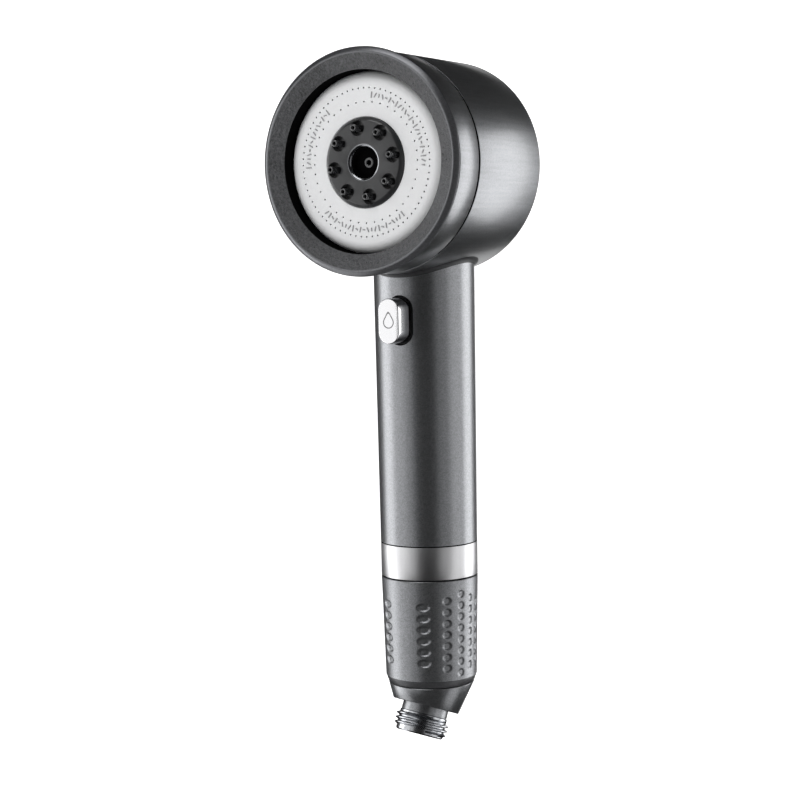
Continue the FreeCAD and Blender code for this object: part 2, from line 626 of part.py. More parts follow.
THREAD_END = "(coupling_floor - thread_length)"
GRIP_TOP = "(-trim_length - grip_gap)"
GRIP_BORE = "(thread_radius + thread_fit)"
COUPLING_OUT = "(handle_radius - handle_wall - 0.1)"


def make_coupling():
    socket = "(tube_radius + socket_fit)"
    mouth = "(tube_radius + 2 * ring_wire)"
    bore = "(tube_radius - tube_wall)"
    groove = f"({THREAD_END} + 2)"
    keep(turned("coupling", "Z", (
        (mouth, "coupling_top"), (COUPLING_OUT, "coupling_top"), (COUPLING_OUT, "coupling_floor"),
        ("thread_radius", "coupling_floor"), ("thread_radius", f"{groove} + 1.8"),
        ("thread_radius - 1.5", f"{groove} + 1.8"), ("thread_radius - 1.5", groove),
        ("thread_radius", groove), ("thread_radius", THREAD_END), ("thread_radius - 3", THREAD_END),
        ("thread_radius - 3", "coupling_floor"), (bore, "coupling_floor"), (bore, LOWER_TUBE_FOOT),
        (socket, LOWER_TUBE_FOOT), (socket, "coupling_top - 2 * ring_wire"),
        (mouth, "coupling_top - 2 * ring_wire"))), "coupling")
    keep(ring("coupling_oring", "thread_radius - 0.75", "0.74", "0", f"{groove} + 0.9"), "coupling_oring")
    keep(turned("trim_ring", "Z", (
        (f"{COUPLING_OUT} + coupling_fit", "0"), ("handle_radius", "0"),
        ("handle_radius", "-trim_length"), (f"{COUPLING_OUT} + coupling_fit", "-trim_length"))), "trim_ring")


def make_grip():
    floor = "(grip_bottom + grip_floor)"
    hole = "(stub_radius + stub_fit)"
    keep(turned("filter_grip", "Z", (
        (GRIP_BORE, GRIP_TOP), ("handle_radius", GRIP_TOP), ("grip_bottom_radius", "grip_bottom"),
        (hole, "grip_bottom"), (hole, floor), (GRIP_BORE, floor))), "filter_grip")
    keep(turned("grip_end_ring", "Z", (
        ("stub_radius + 0.5", "grip_bottom"), ("grip_bottom_radius", "grip_bottom"),
        ("end_ring_radius", "grip_bottom - end_ring_height"),
        ("stub_radius + 0.5", "grip_bottom - end_ring_height"))), "grip_end_ring")


def make_filter():
    core = "(filter_radius - sleeve_wall - 0.1)"
    core_top = "(filter_top - filter_cap)"
    core_low = "(filter_bottom + filter_cap)"
    keep(turned("filter_core", "Z", (
        ("filter_core_bore", core_top), (core, core_top), (core, core_low),
        ("filter_core_bore", core_low))), "filter_core")
    sleeve = turned("filter_sleeve", "Z", (
        ("filter_radius - sleeve_wall", core_top), ("filter_radius", core_top),
        ("filter_radius", core_low), ("filter_radius - sleeve_wall", core_low)))
    for index in range(3):
        sketch = new_sketch(sleeve, f"slot_sketch_{index}", "XZ_Plane")
        height = f"{core_low} + 2.4 + {index} * ({core_top} - {core_low} - 4) / 3"
        half = "(filter_radius / 2)"
        top = f"({height} + 3)"
        outline(sketch, ((f"-{half}", height), (half, height), (half, top), (f"-{half}", top)))
        slot = sleeve.newObject("PartDesign::Pocket", f"slot_{index}")
        slot.Profile = sketch
        slot.Type = "ThroughAll"
        slot.Midplane = True
        before = sleeve.Shape.Volume
        sleeve.Tip = slot
        doc.recompute()
        if sleeve.Shape.Volume >= before:
            raise RuntimeError("slot changes nothing")
    keep(sleeve, "filter_sleeve")
    for label, low, high in (("filter_top_cap", core_top, "filter_top"),
                             ("filter_bottom_cap", "filter_bottom", core_low)):
        keep(turned(label, "Z", (
            ("filter_core_bore", high), ("filter_radius", high), ("filter_radius", low),
            ("filter_core_bore", low))), label)


# ---- the inlet elbow -----------------------------------------------------------------------

SLANT = ("-sin(inlet_tilt * 1 deg) * sin(inlet_swing * 1 deg)",
         "-sin(inlet_tilt * 1 deg) * cos(inlet_swing * 1 deg)", "-cos(inlet_tilt * 1 deg)")


def slanted(piece, reach):
    """Lean a piece that stands on Z along the inlet's axis, a given way down from the pivot."""
    lean = FreeCAD.Rotation(FreeCAD.Vector(-1, 0.3, 0), value("inlet_tilt"))
    piece.Placement = FreeCAD.Placement(FreeCAD.Vector(), lean)
    bind(piece, Placement__Rotation__Axis__x="-cos(inlet_swing * 1 deg)",
         Placement__Rotation__Axis__y="sin(inlet_swing * 1 deg)", Placement__Rotation__Axis__z="0",
         Placement__Rotation__Angle="inlet_tilt")
    place(piece, f"{SLANT[0]} * ({reach})", f"{SLANT[1]} * ({reach})",
          f"pivot_height + {SLANT[2]} * ({reach})")
    return piece


def inlet_outline():
    """The neck and the thread, as (radius, place), with places counted down from the pivot."""
    start = "(elbow_reach + neck_length)"
    root = "(thread_outer - thread_depth)"
    corners = [("0", "-elbow_reach + 1"), ("neck_radius", "-elbow_reach + 1"),
               ("neck_radius", f"-{start}")]
    for index in range(THREAD_CRESTS):
        middle = f"({start} + thread_pitch * {index + 0.5})"
        corners += [(root, f"-{middle} + thread_pitch * 0.38"),
                    ("thread_outer", f"-{middle} + thread_crest / 2"),
                    ("thread_outer", f"-{middle} - thread_crest / 2")]
    corners += [(root, f"-{start} - thread_pitch * {THREAD_CRESTS - 0.12}"),
                (root, "-inlet_reach"), ("0", "-inlet_reach")]
    return corners


def make_elbow():
    top = "(grip_bottom - end_ring_height - elbow_gap)"
    upper = doc.addObject("Part::Circle", "elbow_top_edge")
    bind(upper, Radius="end_ring_radius")
    place(upper, z=top)
    lower = doc.addObject("Part::Circle", "elbow_low_edge")
    bind(lower, Radius="elbow_radius")
    slanted(lower, "elbow_reach")
    hull = doc.addObject("Part::Loft", "elbow_hull")
    hull.Sections = [upper, lower]
    hull.Solid = True
    hull.Ruled = True
    clip_low = "(grip_bottom + grip_floor + 0.1)"
    seal_low = "(grip_bottom + 1)"
    stub = turned("elbow_stub", "Z", (
        ("0", f"{top} - 0.5"), ("stub_radius", f"{top} - 0.5"), ("stub_radius", seal_low),
        ("stub_radius - 1.3", seal_low), ("stub_radius - 1.3", f"{seal_low} + 1.5"),
        ("stub_radius", f"{seal_low} + 1.5"), ("stub_radius", clip_low), ("stub_radius - 0.9", clip_low),
        ("stub_radius - 0.9", f"{clip_low} + 1"), ("stub_radius", f"{clip_low} + 1"),
        ("stub_radius", "stub_top"), ("0", "stub_top")))
    thread = slanted(turned("inlet_thread", "Z", inlet_outline()), "0")
    knee = doc.addObject("Part::Sphere", "knee_bore")
    bind(knee, Radius="stub_bore")
    place(knee, z="pivot_height")
    tools = [
        rod("stub_bore_tool", "stub_bore", "stub_top - pivot_height + 1", "0", "0", "pivot_height"),
        knee,
        slanted(rod("inlet_bore_inner", "stub_bore", "inlet_reach + 1"), "inlet_reach + 1"),
        slanted(rod("screen_pocket", "inlet_bore - screen_step", "screen_thickness + 1"),
                "screen_seat + screen_thickness + 1"),
        slanted(rod("inlet_bore_outer", "inlet_bore", "inlet_reach - screen_seat - screen_thickness + 1"),
                "inlet_reach + 1"),
    ]
    keep(cut("inlet_elbow", fuse("elbow_outside", [hull, stub, thread]), tools), "inlet_elbow")
    clip = turned("clip_ring", "Z", (
        ("stub_radius - 0.85", f"{clip_low} + 0.05"), ("stub_radius + 1.8", f"{clip_low} + 0.05"),
        ("stub_radius + 1.8", f"{clip_low} + 0.95"), ("stub_radius - 0.85", f"{clip_low} + 0.95")))
    gap = doc.addObject("Part::Box", "clip_gap")
    bind(gap, Length="4", Width="stub_radius * 2", Height="4")
    place(gap, "-2", "0", f"{clip_low} - 1")
    keep(cut("swivel_clip", clip, [gap]), "swivel_clip")
    keep(ring("swivel_oring", "stub_radius - 0.61", "0.66", "0", f"{seal_low} + 0.75"), "swivel_oring")


def make_inlet_inserts():
    screen = turned("screen_disc", "Z", (
        ("0", "-screen_seat"), ("inlet_bore - screen_step - 0.05", "-screen_seat"),
        ("inlet_bore - screen_step - 0.05", "-screen_seat - screen_thickness"),
        ("0", "-screen_seat - screen_thickness")))
    sketch = new_sketch(screen, "mesh_sketch", "XY_Plane")
    centres = [("0", "0")] + around(6, "inlet_bore * 0.32") + around(12, "inlet_bore * 0.66")
    circles(sketch, centres, "0.8")
    mesh = screen.newObject("PartDesign::Pocket", "mesh_holes")
    mesh.Profile = sketch
    mesh.Type = "ThroughAll"
    before = screen.Shape.Volume
    screen.Tip = mesh
    doc.recompute()
    if screen.Shape.Volume >= before:
        raise RuntimeError("mesh_holes changes nothing")
    keep(slanted(screen, "0"), "inlet_screen")
    keep(turned("flow_restrictor", "Z", (
        ("1.8", "stub_top - 2.5"), ("stub_bore - 0.05", "stub_top - 2.5"),
        ("stub_bore - 0.05", "stub_top - 0.3"), ("1.8", "stub_top - 0.3"))), "flow_restrictor")


make_housing()
make_collar()
make_dial_ring()
make_spray_plate()
make_nozzle_insert()
make_nozzle_mat()
make_diverter_disc()
make_valve_seat()
make_detent()
make_centre_jet()
make_manifold()
make_water_way()
make_stop_valve()
make_button()
make_coupling()
make_grip()
make_filter()
make_elbow()
make_inlet_inserts()
doc.recompute()

for item in doc.Objects:
    if "Invalid" in item.State or "Error" in item.State:
        raise RuntimeError(f"{item.Label} failed: {item.State}")
for piece in PIECES:
    if piece.Shape.isNull() or not piece.Shape.isValid():
        raise RuntimeError(f"{piece.Label} has no valid shape")

os.makedirs("parts", exist_ok=True)
for piece in PIECES:
    piece.Shape.exportStep(os.path.join("parts", piece.Label + ".step"))
    print(f"{piece.Label}: {len(piece.Shape.Solids)} solids, {piece.Shape.Volume:.1f} mm3")
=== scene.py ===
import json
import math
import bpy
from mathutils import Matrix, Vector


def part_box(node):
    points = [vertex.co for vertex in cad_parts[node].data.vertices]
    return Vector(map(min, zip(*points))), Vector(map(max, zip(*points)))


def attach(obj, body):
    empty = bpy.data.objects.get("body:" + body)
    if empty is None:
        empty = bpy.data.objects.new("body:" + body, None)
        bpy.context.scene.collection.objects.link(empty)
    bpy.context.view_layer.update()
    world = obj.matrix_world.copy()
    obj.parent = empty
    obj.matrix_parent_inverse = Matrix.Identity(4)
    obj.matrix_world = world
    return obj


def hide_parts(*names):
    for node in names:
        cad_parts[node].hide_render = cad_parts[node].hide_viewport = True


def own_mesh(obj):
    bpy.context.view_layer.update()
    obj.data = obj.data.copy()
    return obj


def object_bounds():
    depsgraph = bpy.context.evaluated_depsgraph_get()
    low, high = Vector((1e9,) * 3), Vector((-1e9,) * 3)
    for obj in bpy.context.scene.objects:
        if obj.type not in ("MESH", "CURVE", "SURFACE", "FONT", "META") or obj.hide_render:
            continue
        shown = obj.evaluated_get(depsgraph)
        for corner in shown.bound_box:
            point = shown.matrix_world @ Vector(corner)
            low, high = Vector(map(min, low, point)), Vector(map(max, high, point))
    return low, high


bl_info = {
    "name": "Handheld Shower Head",
    "version": (1, 0, 0),
    "blender": (4, 5, 0),
    "location": "3D View > Sidebar > Shower",
    "description": "Models the visible pieces of a handheld shower head round its packed frame",
    "category": "Object",
}

import bmesh
import bpy
from bpy.props import FloatProperty, FloatVectorProperty, IntProperty, PointerProperty
from mathutils import Matrix, Vector

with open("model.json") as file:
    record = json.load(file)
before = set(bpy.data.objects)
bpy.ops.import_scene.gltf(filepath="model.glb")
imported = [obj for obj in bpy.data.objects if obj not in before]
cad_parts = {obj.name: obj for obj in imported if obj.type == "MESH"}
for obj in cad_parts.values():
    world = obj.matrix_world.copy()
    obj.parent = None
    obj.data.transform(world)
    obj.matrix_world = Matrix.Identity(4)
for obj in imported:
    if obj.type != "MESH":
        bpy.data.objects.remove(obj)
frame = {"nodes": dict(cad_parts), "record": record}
CAD_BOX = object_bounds()

MM = 0.001
ROUND_STEPS = 192  # segments of the large rings
SMALL_STEPS = 40  # segments of the nozzles and other small rounds
NOZZLES = 8
NEAR = 0.01 * MM  # slack for finding the edges at a place
TURN_BACK = Matrix.Rotation(math.pi / 2, 4, "X")  # turns +Z to -Y
FOOT_RADIUS = 16.7 * MM  # foot of the end ring and top of the elbow
SEAM_DEPTH = 0.4 * MM  # depth under a surface from which the faces inside a seam are painted black as shade
# (start, end) of each arc of marks in degrees, clockwise from the top, seen from the front
MARK_ARCS = ((4.0, 98.0), (139.0, 226.0), (264.0, 324.0))
# (degrees from the middle of the pattern, dimples in the column, half width in mm)
DIMPLE_COLUMNS = ((27.2, 6, 2.8), (56.0, 7, 1.95), (75.7, 8, 1.7), (92.2, 7, 1.5), (106.5, 6, 1.3))
DIMPLE_MIDDLE = -96.2  # degrees from +X

# ---- places read from the frame ------------------------------------------------------------

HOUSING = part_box("housing")
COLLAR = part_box("front_collar")
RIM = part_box("dial_ring")
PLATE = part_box("spray_plate")
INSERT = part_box("nozzle_insert")
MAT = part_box("nozzle_mat")
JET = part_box("centre_jet")
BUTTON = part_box("button")
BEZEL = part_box("button_bezel")
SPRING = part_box("button_spring")
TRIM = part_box("trim_ring")
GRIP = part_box("filter_grip")
END_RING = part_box("grip_end_ring")
MOUNTS = {mount["name"]: mount for mount in frame["record"]["mounts"]}

HEAD_HEIGHT = (COLLAR[0].z + COLLAR[1].z) / 2
DRUM_RADIUS = COLLAR[1].x
RIM_RADIUS = RIM[1].x
BUTTON_HEIGHT = (BUTTON[0].z + BUTTON[1].z) / 2
INLET_AXIS = Vector(MOUNTS["hose_thread"]["axis"]).normalized()
THREAD_RADIUS = MOUNTS["hose_thread"]["dims"]["r_mm"] * MM
THREAD_MIDDLE = Vector(MOUNTS["hose_thread"]["pos_m"])
BORE_RADIUS = MOUNTS["inlet_bore"]["dims"]["r_mm"] * MM
BORE_LENGTH = MOUNTS["inlet_bore"]["dims"]["length_mm"] * MM
BORE_END = Vector(MOUNTS["inlet_bore"]["pos_m"]) + INLET_AXIS * BORE_LENGTH / 2
# the inlet's axis meets the handle's axis at the pivot
PIVOT = THREAD_MIDDLE - INLET_AXIS * (THREAD_MIDDLE.y / INLET_AXIS.y)


def length(name, description, default, low=0.0):
    return FloatProperty(name=name, description=description, default=default, min=low, unit="LENGTH",
                         precision=5)


def colour(name, description, default):
    return FloatVectorProperty(name=name, description=description, default=default, size=3, min=0.0,
                               max=1.0, subtype="COLOR")


class ShowerSizes(bpy.types.PropertyGroup):
    """Fine sizes of the visible pieces. The large ones come from the frame."""

    edge_round: length("Edge round", "Rounding of the moulded edges", 0.35 * MM)
    seam_round: length("Seam round", "Rounding of the edges beside a seam", 0.12 * MM)
    back_round: length("Back round", "Rounding of the drum's back edge", 1.2 * MM)
    saddle_round: length("Saddle round", "Fillet where the handle meets the drum", 1.6 * MM)
    rim_edge_width: length("Rim edge width", "Width of the rim's slanted edge", 1.7 * MM)
    rim_edge_depth: length("Rim edge depth", "Depth of the rim's slanted edge", 1.2 * MM)
    dish_radius: length("Dish radius", "Outer radius of the dished ring", 39.0 * MM)
    dish_depth: length("Dish depth", "Depth of the dished ring behind the rim's crest", 2.5 * MM)
    plate_radius: length("Plate radius", "Radius of the plate inside the dished ring", 33.2 * MM)
    plate_flat: length("Plate flat", "Radius of the plate's flat middle, inside its round border", 28.4 * MM)
    insert_radius: length("Insert radius", "Radius of the nozzle insert", 16.4 * MM)
    insert_bevel: length("Insert bevel", "Width of the insert's slanted edge", 1.3 * MM)
    mouth_radius: length("Mouth radius", "Radius of the insert's centre bore", 5.2 * MM)
    mouth_flare: length("Mouth flare", "Width of the flare round the centre bore", 1.5 * MM)
    mouth_depth: length("Mouth depth", "Depth of the flare round the centre bore", 2.4 * MM)
    pit_radius: length("Pit radius", "Radius of the pit round each nozzle", 2.85 * MM)
    pit_depth: length("Pit depth", "Depth of the pit round each nozzle", 3.0 * MM)
    nozzle_circle: length("Nozzle circle", "Radius of the circle of nozzles", 12.6 * MM)
    nozzle_radius: length("Nozzle radius", "Radius of a nozzle", 1.25 * MM)
    nozzle_bore: length("Nozzle bore", "Radius of a nozzle's orifice", 0.62 * MM)
    outer_circle: length("Outer hole circle", "Radius of the outer ring of spray holes", 26.85 * MM)
    inner_circle: length("Inner hole circle", "Radius of the inner ring of spray holes", 21.85 * MM)
    spray_hole: length("Spray hole", "Radius of a spray hole", 0.34 * MM)
    mark_height: length("Mark height", "Height of the raised marks on the plate", 0.25 * MM)
    button_round: length("Button round", "Rounding of the button's face edge", 0.4 * MM)
    handle_radius: length("Handle radius", "Radius of the handle at the trim ring", 18.7 * MM)
    handle_taper: FloatProperty(name="Handle taper", description="Growth of the handle's radius with height",
                                default=0.0065, min=0.0, max=0.1)
    dimple_depth: length("Dimple depth", "Depth of the grip's dimples", 0.5 * MM)
    dimple_tall: length("Dimple height", "Half height of a dimple", 1.65 * MM)
    dimple_pitch: length("Dimple pitch", "Spacing of the dimples up the grip", 4.35 * MM)
    seam_width: length("Seam width", "Height of the shadow line beside the trim ring", 0.45 * MM)
    thread_pitch: length("Thread pitch", "Pitch of the inlet thread", 1.814 * MM)
    thread_depth: length("Thread depth", "Depth of the inlet thread", 1.16 * MM)
    nozzle_turn: FloatProperty(name="Nozzle turn", description="Turn of the first nozzle from the top",
                               default=math.radians(10.4), subtype="ANGLE")
    outer_holes: IntProperty(name="Outer holes", description="Spray holes in the outer ring", default=72,
                             min=3)
    inner_holes: IntProperty(name="Inner holes", description="Spray holes in the inner ring", default=40,
                             min=3)


class ShowerColours(bpy.types.PropertyGroup):
    """Colours of the finishes."""

    gunmetal: colour("Gunmetal", "Satin metallic coat of the drum and handle", (0.23, 0.235, 0.245))
    rim: colour("Rim", "Dark coat of the turning rim", (0.07, 0.071, 0.075))
    grip: colour("Grip", "Matte metallic coat of the lower grip", (0.235, 0.24, 0.25))
    trim: colour("Trim", "Satin silver of the trim ring", (0.56, 0.56, 0.57))
    plate: colour("Plate", "Pale plastic of the spray plate", (0.7, 0.705, 0.712))
    insert: colour("Insert", "Dark plastic of the nozzle insert", (0.034, 0.035, 0.037))
    marks: colour("Marks", "Grey of the plate's raised marks", (0.3, 0.3, 0.305))
    rubber: colour("Rubber", "Dark silicone and seals", (0.02, 0.02, 0.021))
    chrome: colour("Chrome", "Bright plating of the button", (0.7, 0.7, 0.71))


class StudioSettings(bpy.types.PropertyGroup):
    """The stage, its lights and the camera."""

    camera_place: FloatVectorProperty(name="Camera place", description="Where the camera stands", size=3,
                                      default=(0.3458, -0.6074, 0.1112), subtype="TRANSLATION",
                                      unit="LENGTH")
    camera_turn: FloatProperty(name="Camera turn", description="Turn of the view to the left of +Y",
                               default=math.radians(30.49), subtype="ANGLE")
    camera_drop: FloatProperty(name="Camera drop", description="Angle that the view looks down",
                               default=math.radians(4.64), subtype="ANGLE")
    camera_roll: FloatProperty(name="Camera roll", description="Roll of the camera",
                               default=math.radians(1.17), subtype="ANGLE")
    lens: FloatProperty(name="Lens", description="Focal length on a 36 mm sensor", default=81.73, min=1.0,
                        unit="CAMERA")
    key_power: FloatProperty(name="Key power", description="Power of the softboxes at the right", default=4.0,
                             unit="POWER")
    fill_power: FloatProperty(name="Fill power", description="Power of the softboxes at the left",
                              default=4.6, unit="POWER")
    front_power: FloatProperty(name="Front power", description="Power of the softbox above the front",
                               default=4.0, unit="POWER")


# ---- shared helpers ------------------------------------------------------------------------

def sizes():
    return bpy.context.scene.shower_sizes


def colours():
    return bpy.context.scene.shower_colours


def studio():
    return bpy.context.scene.shower_studio


FACING = {"drum": (Vector((0, 1, 0)), Vector((0, 0, 1))), "handle": (Vector((0, 0, 1)), Vector((1, 0, 0)))}


def revolve(corners, axis="drum", steps=ROUND_STEPS):
    """A new bmesh: a closed outline of (radius, place) corners, spun round the drum's or handle's axis."""
    bm = bmesh.new()
    line, out = FACING[axis]
    centre = Vector((0, 0, HEAD_HEIGHT)) if axis == "drum" else Vector()
    points = [bm.verts.new(centre + out * radius + line * place) for radius, place in corners]
    bmesh.ops.spin(bm, geom=points + loop_of(bm, points), cent=centre, axis=line, angle=math.tau, steps=steps,
                   use_merge=True, use_normal_flip=False)
    bmesh.ops.remove_doubles(bm, verts=bm.verts, dist=1e-6)
    bmesh.ops.recalc_face_normals(bm, faces=bm.faces)
    return bm


def loop_of(bm, points):
    """Join points into a closed loop of edges."""
    return [bm.edges.new(pair) for pair in zip(points, points[1:] + points[:1])]


def bevel(bm, edges, offset, segments, clamp=True):
    bmesh.ops.bevel(bm, geom=edges, offset=offset, offset_type="OFFSET", segments=segments, profile=0.5,
                    affect="EDGES", material=-1, clamp_overlap=clamp)


def soften(bm, offset, keep=lambda spot: True, angle=30.0, segments=2):
    """Bevel the edges that turn by more than an angle and have both ends where keep() allows."""
    edges = [edge for edge in bm.edges if len(edge.link_faces) == 2
             and edge.calc_face_angle(0.0) > math.radians(angle)
             and all(keep(vert.co) for vert in edge.verts)]
    bevel(bm, edges, offset, segments)


def push(bm, faces, shift):
    """Extrude faces into a solid along a shift."""
    made = bmesh.ops.extrude_face_region(bm, geom=faces, use_keep_orig=True)["geom"]
    bmesh.ops.translate(bm, verts=[part for part in made if isinstance(part, bmesh.types.BMVert)], vec=shift)
    bmesh.ops.recalc_face_normals(bm, faces=bm.faces)


def piece(name, bm, smooth=40.0):
    """Finish a bmesh as an object at the origin, smooth but for its sharp edges."""
    mesh = bpy.data.meshes.new(name)
    bm.to_mesh(mesh)
    bm.free()
    item = bpy.data.objects.new(name, mesh)
    smooth_item(item, smooth)
    bpy.context.scene.collection.objects.link(item)
    return item


def smooth_item(item, angle):
    """Shade a piece smooth but for edges sharper than an angle."""
    item.data.shade_smooth()
    item.data.set_sharp_from_angle(angle=math.radians(angle))


def settle(item, body, slot, material, *nodes):
    """Dress a piece, tie it to its body and let it stand for its CAD nodes."""
    item.data.materials.append(material)
    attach(item, body)
    if nodes:
        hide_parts(*nodes)
    return item


def carve(item, tool, operation="DIFFERENCE"):
    """Apply a boolean with another object, which is used up."""
    change = item.modifiers.new("carve", "BOOLEAN")
    change.object = tool
    change.operation = operation
    change.solver = "EXACT"
    graph = bpy.context.evaluated_depsgraph_get()
    made = bpy.data.meshes.new_from_object(item.evaluated_get(graph))
    item.modifiers.clear()
    old = item.data
    item.data = made
    made.name = item.name
    bpy.data.meshes.remove(old)
    bpy.data.objects.remove(tool)
    made.shade_smooth()
    return item


def paint(item, material, within):
    """Give a material to the faces whose centres are where within() allows."""
    item.data.materials.append(material)
    slot = len(item.data.materials) - 1
    for face in item.data.polygons:
        if within(face.center):
            face.material_index = slot


def paint_recess_shade(item, within):
    """Paint the faces inside a seam, bore or recess near-black, as painted shade where these hollows lie in
    shadow.
    """
    paint(item, recess_shade_black(), within)


def prism(bm, places, reach, front, back, segments=16):
    """Closed round bars along Y at (x, z) places, from a front to a back place."""
    for x, z in places:
        spot = Matrix.Translation((x, (front + back) / 2, z)) @ TURN_BACK
        bmesh.ops.create_cone(bm, cap_ends=True, cap_tris=False, segments=segments, radius1=reach,
                              radius2=reach, depth=back - front, matrix=spot)


def ring_places(count, radius, first=0.0):
    """(x, z) places round the drum's axis, counted from the top, anticlockwise seen from the front."""
    turns = [first + math.tau * index / count for index in range(count)]
    return [(-radius * math.sin(turn), HEAD_HEIGHT + radius * math.cos(turn)) for turn in turns]


def stadium_rim(bm, width, tall, y, steps=24):
    """A closed loop of edges with straight sides and round ends, at one place on Y."""
    reach = width / 2
    straight = tall / 2 - reach
    points = []
    for side in (1, -1):
        for index in range(steps + 1):
            angle = math.pi * index / steps
            x = side * reach * math.cos(angle)
            z = BUTTON_HEIGHT + side * (straight + reach * math.sin(angle))
            points.append(bm.verts.new((x, y, z)))
    return loop_of(bm, points)


def stadium_block(bm, width, tall, front, back, steps=24):
    """A solid block with round ends, from a front to a back place on Y."""
    edges = stadium_rim(bm, width, tall, front, steps)
    push(bm, bmesh.ops.contextual_create(bm, geom=edges)["faces"], (0, back - front, 0))


# ---- finishes ------------------------------------------------------------------------------

def node(tree, kind, inputs=None, **values):
    """A node beside the others. Its inputs, by name or number, take a socket to link or a constant."""
    made = tree.nodes.new(kind)
    made.location = (200 * len(tree.nodes) - 1400, 0)
    for name, value in values.items():
        setattr(made, name, value)
    for key, value in (inputs or {}).items():
        if isinstance(value, bpy.types.NodeSocket):
            tree.links.new(value, made.inputs[key])
        else:
            made.inputs[key].default_value = value
    return made


def maths(tree, operation, *inputs):
    return node(tree, "ShaderNodeMath", dict(enumerate(inputs)), operation=operation).outputs[0]


def open_group(name, inputs):
    """A shader node group that puts out a colour, a roughness and a height from its named inputs."""
    group = bpy.data.node_groups.new(name, "ShaderNodeTree")
    for title, kind, default in inputs:
        socket = group.interface.new_socket(name=title, in_out="INPUT", socket_type=f"NodeSocket{kind}")
        socket.default_value = default
    for title, kind in (("Colour", "Color"), ("Roughness", "Float"), ("Height", "Float")):
        group.interface.new_socket(name=title, in_out="OUTPUT", socket_type=f"NodeSocket{kind}")
    return group, node(group, "NodeGroupInput").outputs


def close_group(group, entry, change, rough_share, height):
    """Vary the colour and the roughness by one change about zero."""
    gain = maths(group, "ADD", change, 1.0)
    tint = node(group, "ShaderNodeVectorMath", {0: entry["Colour"], "Scale": gain}, operation="SCALE")
    rough = maths(group, "MULTIPLY_ADD", change, rough_share, entry["Roughness"])
    node(group, "NodeGroupOutput", {"Colour": tint.outputs[0], "Roughness": rough, "Height": height})
    return group


def metal_coat_group():
    """Metallic paint: fine bright flakes and faint streaks along one direction."""
    group, entry = open_group("Metal coat", (
        ("Colour", "Color", (0.2, 0.2, 0.2, 1)), ("Roughness", "Float", 0.35), ("Flake", "Float", 0.3),
        ("Flake scale", "Float", 2600.0), ("Streak", "Float", 0.1), ("Stretch", "Vector", (1.0, 0.04, 1.0))))
    where = node(group, "ShaderNodeTexCoord").outputs["Object"]
    cells = node(group, "ShaderNodeTexVoronoi", {"Vector": where, "Scale": entry["Flake scale"]},
                 feature="F1")
    grey = node(group, "ShaderNodeRGBToBW", {"Color": cells.outputs["Color"]}).outputs["Val"]
    flakes = maths(group, "MULTIPLY", maths(group, "SUBTRACT", grey, 0.5), entry["Flake"])
    longer = node(group, "ShaderNodeVectorMath", {0: where, 1: entry["Stretch"]}, operation="MULTIPLY")
    streaks = node(group, "ShaderNodeTexNoise", {"Vector": longer.outputs[0], "Scale": 900.0, "Detail": 3.0},
                   noise_dimensions="3D")
    lean = maths(group, "SUBTRACT", streaks.outputs["Fac"], 0.5)
    both = maths(group, "ADD", flakes, maths(group, "MULTIPLY", lean, entry["Streak"]))
    return close_group(group, entry, both, 0.12, both)


def sand_group():
    """Fine moulded sand texture with a little colour variation."""
    group, entry = open_group("Moulded grain", (
        ("Colour", "Color", (0.1, 0.1, 0.1, 1)), ("Roughness", "Float", 0.5),
        ("Grain scale", "Float", 1800.0), ("Variation", "Float", 0.2)))
    where = node(group, "ShaderNodeTexCoord").outputs["Object"]
    fine = node(group, "ShaderNodeTexNoise", {"Vector": where, "Scale": entry["Grain scale"], "Detail": 4.0,
                                              "Roughness": 0.7}, noise_dimensions="3D").outputs["Fac"]
    broad = node(group, "ShaderNodeTexNoise", {"Vector": where, "Scale": 60.0}, noise_dimensions="3D")
    total = maths(group, "MULTIPLY_ADD", broad.outputs["Fac"], 0.25, fine)
    change = maths(group, "MULTIPLY", maths(group, "SUBTRACT", total, 0.625), entry["Variation"])
    return close_group(group, entry, change, 0.25, fine)


def group_named(name, make):
    return bpy.data.node_groups.get(name) or make()


def dressed(name, group, settings, metallic=0.0, bump=0.05, bump_reach=0.1 * MM, coat=0.0,
            coat_roughness=0.1, specular=0.5):
    """A material: one Principled shader fed by one group, whose inputs settings gives."""
    found = bpy.data.materials.get(name)
    if found:
        return found
    material = bpy.data.materials.new(name)
    material.use_nodes = True
    tree = material.node_tree
    tree.nodes.clear()
    made = node(tree, "ShaderNodeGroup", settings, node_tree=group).outputs
    relief = node(tree, "ShaderNodeBump",
                  {"Strength": bump, "Distance": bump_reach, "Height": made["Height"]})
    shader = node(tree, "ShaderNodeBsdfPrincipled", {
        "Base Color": made["Colour"], "Roughness": made["Roughness"], "Normal": relief.outputs[0],
        "Metallic": metallic, "Coat Weight": coat, "Coat Roughness": coat_roughness,
        "Specular IOR Level": specular})
    node(tree, "ShaderNodeOutputMaterial", {"Surface": shader.outputs[0]})
    return material


def rgba(value):
    return (*value, 1.0)


def coat(name, tone, roughness, flake, streak, stretch=(1.0, 0.04, 1.0), metallic=0.9, **more):
    """A metallic coat with its own flake and streaks."""
    settings = {"Colour": rgba(tone), "Roughness": roughness, "Flake": flake, "Streak": streak,
                "Stretch": stretch}
    return dressed(name, group_named("Metal coat", metal_coat_group), settings, metallic=metallic, **more)


def moulded(name, tone, roughness, variation=0.25, scale=1800.0, metallic=0.0, **more):
    """A moulded plastic or rubber with fine grain."""
    settings = {"Colour": rgba(tone), "Roughness": roughness, "Variation": variation, "Grain scale": scale}
    return dressed(name, group_named("Moulded grain", sand_group), settings, metallic=metallic, **more)


def drum_coat():
    return coat("Gunmetal coat, drum", colours().gunmetal, 0.36, 0.3, 0.45, (1.0, 0.05, 1.0), 0.94,
                bump=0.03, coat=0.25, coat_roughness=0.18)


